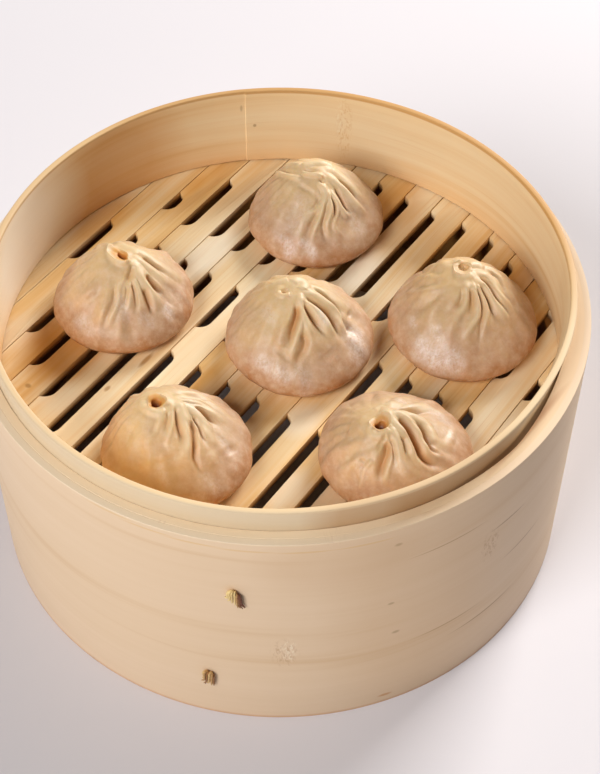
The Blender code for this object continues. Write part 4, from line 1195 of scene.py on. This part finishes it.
        ("rope", 1.4, 0.8, (391, 427), (396, 438), (398, 449), (400, 460), (404, 470), (412, 477)),
        ("rope", 1, 0.7, (392, 444), (391, 455), (388, 465), (386, 476), (384, 488)),
        ("rope", 0.7, 0.5, (371, 462), (365, 469), (362, 478), (360, 488)),
        ("crease", 1.8, 3.4, (398, 419), (406, 427), (412, 436), (417, 446), (422, 456), (431, 463),
         (443, 467)),
        ("crease", 0.9, 2.1, (418, 425), (424, 433), (428, 442), (432, 450), (441, 455)),
        ("crease", 1.3, 1.5, (396, 410), (408, 411), (418, 412), (426, 414)),
        ("crease", 1.2, 1.3, (403, 437), (406, 446), (406, 457)),
        ("crease", 1, 1.2, (391, 440), (393, 449), (395, 458), (395, 467)),
        ("crease", 1.8, 1.9, (389, 442), (387, 453), (383, 463), (379, 473), (376, 485)),
        ("crease", 0.8, 0.8, (384, 436), (386, 440)),
        ("swell", 3, -0.6, (379, 441), (384, 444)),
        ("swell", 1.8, -0.6, (344, 431), (349, 430)),
        ("swell", 1.8, 0.4, (370, 438), (355, 443), (340, 449), (327, 454)),
        ("swell", 1.8, -0.4, (368, 434), (355, 438), (341, 443), (328, 447)),
        ("swell", 1.6, 0.35, (374, 450), (362, 458), (350, 466), (338, 474)),
        ("swell", 1.6, -0.35, (371, 446), (358, 452), (345, 459), (333, 466)),
        ("crease", 0.6, 0.5, (360, 460), (366, 462)),
        ("crease", 0.6, 0.5, (359, 468), (364, 466)),
        ("swell", 4, 0.8, (448, 433), (455, 440)),
        ("swell", 3, -0.5, (350, 472), (356, 470)),
        ("swell", 3, 0.4, (405, 400), (418, 399)),
        ("wet", 2, 0.8, (398, 400), (408, 405)),
        ("wet", 2.6, 0.9, (434, 412), (446, 422)),
        ("wet", 2.2, 0.8, (446, 432), (454, 438)),
        ("wet", 1.8, 0.6, (358, 466), (364, 474)),
        ("wet", 2, 0.5, (395, 462), (402, 470)),
    ],
}
print("strokes:", sum(len(strokes) for strokes in STROKES.values()))

# %% Helpers for the dough


def through_knots(knots, count, share_of_foot=0.35):
    """Points along a smooth curve through the knots, fewer under the foot, and their knot numbers."""
    knots = np.array(knots, dtype=float)
    padded = np.vstack([2 * knots[0] - knots[1], knots, 2 * knots[-1] - knots[-2]])
    fine, at = [], []
    for number in range(len(knots) - 1):
        before, start, end, after = padded[number:number + 4]
        for share in np.linspace(0.0, 1.0, 40, endpoint=False):
            fine.append(0.5 * (2 * start + (end - before) * share
                               + (2 * before - 5 * start + 4 * end - after) * share ** 2
                               + (3 * start - before - 3 * end + after) * share ** 3))
            at.append(number + share)
    fine.append(knots[-1])
    at.append(len(knots) - 1)
    fine, at = np.array(fine), np.array(at)
    steps = np.linalg.norm(np.diff(fine, axis=0), axis=1) * np.where(at[1:] < 2.5, share_of_foot, 1.0)
    length = np.concatenate([[0.0], np.cumsum(steps)])
    wanted = np.linspace(0.0, length[-1], count)
    points = np.stack([np.interp(wanted, length, fine[:, 0]), np.interp(wanted, length, fine[:, 1])], -1)
    return points, np.interp(wanted, length, at)


def smooth_ramp(value, low, high):
    """Smooth step from 0 at low to 1 at high."""
    share = np.clip((value - low) / (high - low), 0.0, 1.0)
    return share * share * (3.0 - 2.0 * share)


def fold_relief(creases, angles, height):
    """Depth in mm below the ridges at each place along one ring."""
    top = np.array([c[0] for c in creases], dtype=float)
    low = np.array([c[1] for c in creases], dtype=float)
    deep = np.array([c[2] for c in creases], dtype=float)
    end = np.array([c[3] for c in creases], dtype=float)
    share = np.clip((FOLD_TOP - height) / (FOLD_TOP - FOLD_LOW), 0.0, 1.0)
    lines = top + (low - top) * share
    depth = deep * smooth_ramp(1.0 - height, 0.04, 0.26) * smooth_ramp(height, end - 0.12, end + 0.12)
    start = lines[0]
    behind = (start - angles) % 360.0
    steps = np.append(start - lines, 360.0)
    number = np.clip(np.searchsorted(steps, behind, side="right") - 1, 0, len(creases) - 1)
    following = (number + 1) % len(creases)
    part = (behind - steps[number]) / (steps[number + 1] - steps[number])
    valley = np.sqrt((2.0 * part - 1.0) ** 2 + 0.0004) ** 2.4
    amount = (1.0 - part) * depth[number] + part * depth[following]
    return amount * valley


def smooth_line(points, count=14):
    """A smooth line through a few points of a drawing."""
    points = np.array(points, dtype=float)
    if len(points) == 2:
        return points[0] + (points[1] - points[0]) * np.linspace(0.0, 1.0, 5)[:, None]
    drawn, _ = through_knots(points, count, 1.0)
    return drawn


def distance_along(points, line):
    """Distance of each point to a line in space, and how far along the line its nearest place is."""
    nearest = np.full(len(points), 1e9)
    place = np.zeros(len(points))
    lengths = np.linalg.norm(np.diff(line, axis=0), axis=1)
    gone = np.concatenate([[0.0], np.cumsum(lengths)])
    for number in range(len(line) - 1):
        along = line[number + 1] - line[number]
        share = np.clip((points - line[number]) @ along / (along @ along), 0.0, 1.0)
        distance = np.linalg.norm(points - line[number] - share[:, None] * along, axis=1)
        closer = distance < nearest
        nearest[closer] = distance[closer]
        place[closer] = (gone[number] + share * lengths[number])[closer] / gone[-1]
    return nearest, place


PLAIN_FORM = through_knots(SHUT_CROWN, 800, 1.0)[0]
PLAIN_FORM = PLAIN_FORM[np.argmax(PLAIN_FORM[:, 0] > SHUT_CROWN[3][0]):]
SIGHT_MM = np.arange(430.0, 640.0, 0.05)


def seen_on_dough(pixel, dumpling):
    """Where the line of sight through a pixel meets a plain dumpling, in mm from the middle of its foot."""
    across, down = pixel[0] - IMAGE_WIDTH / 2, pixel[1] - IMAGE_HEIGHT / 2
    sight = camera.matrix_world.to_3x3() @ Vector((across, -down, -FOCAL_LENGTH_PIXELS)).normalized()
    eye = camera.matrix_world.translation / MM - Vector((*dumpling["centre"], FOOT_HEIGHT))
    line = np.array(eye) + SIGHT_MM[:, None] * np.array(sight)
    height = line[:, 2] / dumpling["height"]
    middle = np.clip(height, 0.0, 1.0)[:, None] ** 1.5 * np.array(dumpling["lean"])
    radius = dumpling["radius"] * np.interp(height, PLAIN_FORM[:, 0], PLAIN_FORM[:, 1])
    gap = np.linalg.norm(line[:, :2] - middle, axis=1) - radius
    gap[(height < 0.03) | (height > 1.0)] = np.inf
    met = np.argmax(gap < 0.0) if np.any(gap < 0.0) else np.argmin(gap)
    return line[met, :2]


CREASE_GAIN = 0.85
ROPE_GAIN = 1.0
LIP_GAIN = 0.85
SWELL_GAIN = 1.4


def stroke_relief(points, upper, strokes, dumpling):
    """Heights in mm that the ropes, creases and swells add at each point, and its wet patch with painted
    sheen.
    """
    rope, crease, swell, wet = (np.zeros(len(points)) for _ in range(4))
    surface = points[upper]
    for kind, width, size, *drawn in strokes:
        line = smooth_line([seen_on_dough(pixel, dumpling) for pixel in drawn])
        rise = [surface[np.argmin(np.sum((surface[:, :2] - spot) ** 2, axis=1)), 2] for spot in line]
        line = np.column_stack([line, rise])
        reach = width * {"swell": 2.6, "crease": 1.3, "rope": 1.4, "lip": 1.2, "wet": 1.3}[kind]
        low, high = line.min(axis=0) - reach, line.max(axis=0) + reach
        close = np.where(np.all((points > low) & (points < high), axis=1) & upper)[0]
        distance, place = distance_along(points[close], line)
        near = np.clip(distance / reach, 0.0, 1.0)
        if kind == "swell":
            fade = 1.0 - 0.6 * np.abs(2.0 * place - 1.0) ** 2
            swell[close] += SWELL_GAIN * size * np.exp(-(distance / width) ** 2) * fade
        elif kind == "wet":
            wet[close] = np.maximum(wet[close], size * (1.0 - near ** 2))
        elif kind == "crease":
            fade = smooth_ramp(place, -0.05, 0.12) * (1.0 - smooth_ramp(place, 0.5, 1.08))
            shape = 0.175 + 0.175 * np.cos(math.pi * near) + 0.65 * (1.0 - near) ** 1.3
            crease[close] = np.maximum(crease[close], CREASE_GAIN * size * shape * fade)
        else:
            start, end = (0.08, 0.92) if kind == "lip" else (0.06, 0.6)
            gain = LIP_GAIN if kind == "lip" else ROPE_GAIN
            fade = smooth_ramp(place, -0.08, start) * (1.0 - smooth_ramp(place, end, 1.04))
            rope[close] = np.maximum(rope[close], gain * size * (1.0 - near ** 2) ** 1.4 * fade)
    return rope, crease, swell, wet


def smoothed(values, order, times):
    """Values averaged with their neighbours on the rolled sheet, and alike on both sides of its seam."""
    grid = values[order].reshape(DOUGH_RINGS + 1, -1)[:, :-1]
    for _ in range(times):
        sides = np.roll(grid, 1, axis=1) + np.roll(grid, -1, axis=1)
        ends = np.vstack([grid[:1], grid[:-1]]) + np.vstack([grid[1:], grid[-1:]])
        grid = 0.4 * grid + 0.15 * (sides + ends)
    result = np.empty_like(values)
    result[order] = np.hstack([grid, grid[:, :1]]).ravel()
    return result


def lumpy(points, size_mm, seed):
    """Smooth unevenness between -1 and 1."""
    shift = Vector((seed, 3.0 * seed, 0.0))
    return np.array([noise.noise(Vector(spot) / size_mm + shift) for spot in points])


# %% Roll and shape the dough
FRONT_PLEATS = 0.1
CROWN_PLEATS = 0.2
LUMPS = ((11.0, 0.55), (4.0, 0.22), (1.8, 0.06))
DRAPES = 5.0
DRAPE_HEIGHT = 0.7


def dough_sheet():
    """A fine flat grid, one unit wide and high, to be rolled into every dumpling."""
    start_clean()
    bpy.ops.mesh.primitive_grid_add(x_subdivisions=DOUGH_COLUMNS, y_subdivisions=DOUGH_RINGS, size=1.0)
    return bpy.context.object


def rolled(dumpling, ring, turn):
    """Place in mm, outward direction, height fraction and share down the hole of each point of the sheet."""
    shut = dumpling["hole"] is None
    profile, knot = through_knots(SHUT_CROWN if shut else OPEN_CROWN, DOUGH_RINGS + 1)
    tangent = np.gradient(profile * np.array([dumpling["height"], dumpling["radius"]]), axis=0)
    tangent /= np.linalg.norm(tangent, axis=1, keepdims=True)
    height, wide = profile[:, 0], profile[:, 1] * dumpling["radius"]
    middle = np.clip(height, 0.0, 1.0)[:, None] ** 1.5 * np.array(dumpling["lean"])
    out = np.column_stack([np.cos(turn), np.sin(turn)])
    uneven = np.zeros(len(turn))
    down = np.zeros(len(turn))
    if not shut:
        lip = dumpling["hole_radius"] + 1.4
        top = np.max(height)
        height = np.where(knot > LIP_KNOT, top - (top - height) * dumpling["depth"], height)
        share = smooth_ramp(knot, LIP_KNOT - 1.5, LIP_KNOT)
        wide = wide * (1.0 - share) + lip * share
        share = smooth_ramp(knot, LIP_KNOT, LIP_KNOT + 1.4)
        inside = np.array(dumpling["lean"]) + np.array(dumpling["hole"])
        middle = middle * (1.0 - share[:, None]) + inside * share[:, None]
        bore = dumpling["hole_radius"] * np.minimum(1.0, profile[:, 1] / 0.085)
        wide = wide * (1.0 - share) + bore * share
        wave = lumpy(np.column_stack([out * 1.2, np.zeros(len(turn))]), 1.0, dumpling["centre"][1])
        uneven = wave * smooth_ramp(knot, LIP_KNOT - 2.0, LIP_KNOT)[ring]
        down = np.clip((knot - LIP_KNOT - 0.2) / 2.8, 0.0, 1.0)[ring]
    reach = wide[ring] * (1.0 + 0.2 * uneven)
    side = reach[:, None] * out
    if "slit" in dumpling:
        longer, slit_deg = dumpling["slit"]
        along = np.array([math.cos(math.radians(slit_deg)), math.sin(math.radians(slit_deg))])
        open_share = smooth_ramp(knot, LIP_KNOT - 1.5, LIP_KNOT)[ring]
        side += ((longer - 1.0) * open_share * (side @ along))[:, None] * along
    place = np.column_stack([middle[ring] + side, (dumpling["height"] * height)[ring] + 0.5 * uneven])
    outward = np.column_stack([tangent[ring, :1] * out, -tangent[ring, 1]])
    return place, outward, height[ring], down


def model_dumpling(name, dumpling, sheet):
    """Roll a copy of the sheet to the dough's profile, add the pleats and strokes, and close its seams."""
    only(sheet)
    bpy.ops.object.duplicate()
    made = bpy.context.object
    count = len(made.data.vertices)
    flat = np.empty(count * 3)
    made.data.vertices.foreach_get("co", flat)
    flat = flat.reshape(-1, 3)
    ring = np.rint((flat[:, 1] + 0.5) * DOUGH_RINGS).astype(int)
    angle = flat[:, 0] * 360.0
    turn = np.radians(angle)
    order = np.lexsort((angle, ring))
    place, outward, height, down = rolled(dumpling, ring, turn)
    outside = down == 0.0
    pleats = np.zeros(count)
    for number in np.unique(ring[(height > 0.2) & outside]):
        here = ring == number
        pleats[here] = fold_relief(dumpling["creases"], angle[here], height[here][0])
    at_back = smooth_ramp(np.sin(turn), 0.05, 0.75)
    hidden = 1.0 - smooth_ramp(outward @ np.array(camera.location.normalized()), -0.05, 0.35)
    pleats *= FRONT_PLEATS + at_back * (CROWN_PLEATS + (1.0 - FRONT_PLEATS - CROWN_PLEATS) * hidden)
    upper = (height > 0.06) & outside
    rope, crease, swell, wet = stroke_relief(place, upper, STROKES[name], dumpling)
    relief = rope - crease + swell - pleats
    for size, high in LUMPS:
        relief += high * lumpy(place, size, dumpling["centre"][0]) * smooth_ramp(height, 0.02, 0.15)
    drape = lumpy(np.column_stack([np.cos(turn) * DRAPES, np.sin(turn) * DRAPES, 1.5 * height]), 1.0, 7.0)
    relief += DRAPE_HEIGHT * drape * smooth_ramp(height, 0.05, 0.4) * (1.0 - smooth_ramp(height, 0.72, 0.93))
    relief = smoothed(relief * (1.0 - smooth_ramp(down, 0.0, 0.3)), order, 3)
    shaped = place + outward * relief[:, None]
    shaped[:, 2] = np.maximum(shaped[:, 2], 0.0)
    shaped += np.array([dumpling["centre"][0], dumpling["centre"][1], FOOT_HEIGHT])
    made.data.vertices.foreach_set("co", (shaped * MM).ravel())
    # Painted light and shade for the dough: crease shade, light on the ropes, sheen on the wet patches
    valley = crease + 0.6 * pleats
    fold = 0.6 * smooth_ramp(smoothed(valley, order, 2), 0.4, 2.0)
    fold += 0.5 * smooth_ramp(smoothed(valley, order, 30), 0.1, 1.2)
    stored = {"fold": np.clip(fold, 0.0, 1.0), "ridge": np.clip(smoothed(rope, order, 6), 0.0, 1.0),
              "hole": down * dumpling.get("throat", 1.0), "wet": smoothed(wet, order, 4)}
    for label, values in stored.items():
        made.data.attributes.new(label, "FLOAT", "POINT").data.foreach_set("value", values)
    made.data.update()
    only(made)
    bpy.ops.object.mode_set(mode="EDIT")
    bpy.ops.mesh.select_all(action="SELECT")
    bpy.ops.mesh.remove_doubles(threshold=0.001 * MM)
    bpy.ops.mesh.normals_make_consistent(inside=False)
    bpy.ops.object.mode_set(mode="OBJECT")
    bpy.ops.object.shade_smooth()
    return made


sheet = dough_sheet()
dumplings = {name: model_dumpling(name, sizes, sheet) for name, sizes in DUMPLINGS.items()}
bpy.data.objects.remove(sheet, do_unlink=True)
print("dumplings:", len(dumplings))

# %% [markdown]
# ## Dough
#
# Steamed wheat dough is thin enough to let light in and to show the pinkish meat below, and it is moist. To
# the eye that is a soft beige with some depth, pinker towards the foot, paler and yellower on the thick ropes
# of the pleats, and with small wet highlights. Light and shade are painted in as well: paler crests on the
# ropes, browner creases, a darker orange foot, a throat that darkens down the hole, and a whitish sheen on
# the wet patches, whose gloss is real.

# %% Dough material
CLOUD_MM, SPECK_MM, SHEEN_MM, SKIN_MM = 9.0, 2.4, 0.9, 1.6
PINK_AND_SHADE_BELOW_MM, YELLOW_ABOVE_MM = 73.0, 98.0


def steamed_dough():
    """Steamed dough: colour by height, clouds, ropes and creases, painted light and shade, some light let
    through.
    """
    made, tree, shader = new_material("steamed_wheat_dough")
    place = add(tree, "ShaderNodeTexCoord").outputs["Object"]
    parts = add(tree, "ShaderNodeSeparateXYZ", None, {"Vector": place})
    fold, ridge, hole, wet = (add(tree, "ShaderNodeAttribute", {"attribute_name": label}).outputs["Fac"]
                              for label in ("fold", "ridge", "hole", "wet"))
    cloud = add(tree, "ShaderNodeTexNoise", {"Scale": 1000 / CLOUD_MM, "Detail": 5.0, "Roughness": 0.68},
                {"Vector": place})
    rise = add(tree, "ShaderNodeMapRange", {"From Min": PINK_AND_SHADE_BELOW_MM * MM, "From Max": YELLOW_ABOVE_MM * MM},
               {"Value": parts.outputs["Z"]})
    drift = add(tree, "ShaderNodeMath", {"operation": "MULTIPLY_ADD", 1: 0.9, 2: -0.45},
                {0: cloud.outputs["Fac"]})
    where = add(tree, "ShaderNodeMath", {"operation": "ADD"},
                {0: rise.outputs["Result"], 1: drift.outputs["Value"]})
    # The lowest stops are a darker orange: painted shade and warm bounce from the slats at the foot
    shades = [(0.0, "A8682E"), (0.18, "B27D50"), (0.42, "C39C7A"), (0.68, "CDA97F"), (0.95, "D8B684")]
    base = add(tree, "ShaderNodeValToRGB", {"stops": shades}, {"Fac": where.outputs["Value"]})
    grain = add(tree, "ShaderNodeTexNoise", {"Scale": 1000 / SPECK_MM, "Detail": 3.0, "Roughness": 0.7},
                {"Vector": place})
    specks = add(tree, "ShaderNodeMapRange", {"From Min": 0.42, "From Max": 0.7, "To Max": 0.3},
                 {"Value": grain.outputs["Fac"]})
    mottled = add(tree, "ShaderNodeMix", {"data_type": "RGBA", 7: linear("E4CDB4")},
                  {0: specks.outputs["Result"], 6: base.outputs["Color"]})
    # Partly painted light: the ropes are paler for the doubled dough and for the light on their crests
    pale = add(tree, "ShaderNodeMath", {"operation": "MULTIPLY", 1: 0.65}, {0: ridge})
    lit = add(tree, "ShaderNodeMix", {"data_type": "RGBA", 7: linear("E2CCA5")},
              {0: pale.outputs["Value"], 6: mottled.outputs[2]})
    # Painted shade: the creases are browner
    deep = add(tree, "ShaderNodeMath", {"operation": "MULTIPLY", 1: 0.7}, {0: fold})
    warm = add(tree, "ShaderNodeMix", {"data_type": "RGBA", 7: linear("C68848")},
               {0: deep.outputs["Value"], 6: lit.outputs[2]})
    # Down the hole the soup's orange darkens with depth as painted shade
    throat = add(tree, "ShaderNodeValToRGB", {"stops": [(0.0, "DDAA64"), (0.45, "C9863C"), (1.0, "8A4C1E")]},
                 {"Fac": hole})
    mouth = add(tree, "ShaderNodeMapRange", {"From Max": 0.15}, {"Value": hole})
    holed = add(tree, "ShaderNodeMix", {"data_type": "RGBA"},
                {0: mouth.outputs["Result"], 6: warm.outputs[2], 7: throat.outputs["Color"]})
    # Painted highlight: a rippled whitish sheen over the wet patches, which are also glossier
    streak = add(tree, "ShaderNodeMapping", {"Scale": (1.0, 1.0, 0.35)}, {"Vector": place})
    ripple = add(tree, "ShaderNodeTexNoise",
                 {"Scale": 1000 / SHEEN_MM, "Detail": 3.0, "Roughness": 0.65, "Distortion": 0.6},
                 {"Vector": streak.outputs["Vector"]})
    bright = add(tree, "ShaderNodeMapRange", {"From Min": 0.34, "From Max": 0.74, "To Min": 0.12},
                 {"Value": ripple.outputs["Fac"]})
    painted_sheen = add(tree, "ShaderNodeMath", {"operation": "MULTIPLY"}, {0: bright.outputs["Result"], 1: wet})
    half = add(tree, "ShaderNodeMath", {"operation": "MULTIPLY", 1: 0.65}, {0: painted_sheen.outputs["Value"]})
    with_sheen = add(tree, "ShaderNodeMix", {"data_type": "RGBA", 7: linear("F3E9E2")},
                 {0: half.outputs["Value"], 6: holed.outputs[2]})
    tree.links.new(with_sheen.outputs[2], shader.inputs["Base Color"])
    rough = add(tree, "ShaderNodeMapRange", {"To Min": 0.52, "To Max": 0.42}, {"Value": wet})
    tree.links.new(rough.outputs["Result"], shader.inputs["Roughness"])
    skin = add(tree, "ShaderNodeTexNoise", {"Scale": 1000 / SKIN_MM, "Detail": 3.0, "Roughness": 0.6},
               {"Vector": place})
    relief = add(tree, "ShaderNodeBump", {"Strength": 0.6, "Distance": 0.12 * MM},
                 {"Height": skin.outputs["Fac"]})
    tree.links.new(relief.outputs["Normal"], shader.inputs["Normal"])
    shader.inputs["Subsurface Weight"].default_value = 0.3
    shader.inputs["Subsurface Radius"].default_value = (1.0, 0.5, 0.26)
    shader.inputs["Subsurface Scale"].default_value = 1.8 * MM
    shader.inputs["Coat Weight"].default_value = 0.05
    shader.inputs["Coat Roughness"].default_value = 0.2
    return made


dough = steamed_dough()
# Painted light and shade: warm bounce from the bamboo gilds the left side of the fifth dumpling, and the
# sixth and the fourth, in the walls' shade, are a little darker
soft_patch(dough, (-42.0, -64.0, 80.0), 0.0, (24.0, 22.0, 16.0), "D8A64A", 0.45)
for place, colour, strength in ((DUMPLING_PLACES[5], "A67F5A", 0.15), (DUMPLING_PLACES[3], "B07A45", 0.13)):
    soft_patch(dough, (*place, 85.0), 0.0, (40.0, 40.0, 40.0), colour, strength)
print("nodes in the dough:", len(dough.node_tree.nodes))

# %% [markdown]
# ## Finish
#
# Every piece is named, rides on the one body and stands for its CAD nodes.

# %% Settle every piece
for thing, value in ((outer_hoop, 0.6), (inner_hoop, 0.55), (lower_ring, 0.5), (cross_bars[0], 0.4),
                     (cross_bars[1], 0.55)):
    give_tone(thing, value)
settle(outer_hoop, "outer_hoop_bent", ["outer_hoop"], hoop_bamboo)
settle(inner_hoop, "inner_hoop_bent", ["inner_hoop"], inner_bamboo)
settle(lower_ring, "lower_ring_bent", ["lower_ring"], frame_bamboo)
for number, bar in enumerate(cross_bars):
    settle(bar, f"cross_bar_planed_{number + 1}", [f"cross_bar_{number + 1}"], frame_bamboo)
for number, slat in enumerate(slats):
    give_tone(slat, SLAT_TONES[number])
    settle(slat, f"slat_{number + 1:02d}", [f"grate_slat_{number + 1:02d}"], slat_bamboo)
for stitch, thing in stitches.items():
    settle(thing, f"{stitch}_strands", [stitch], cane)
for name, thing in dumplings.items():
    settle(thing, f"{name}_dough", [name], dough)
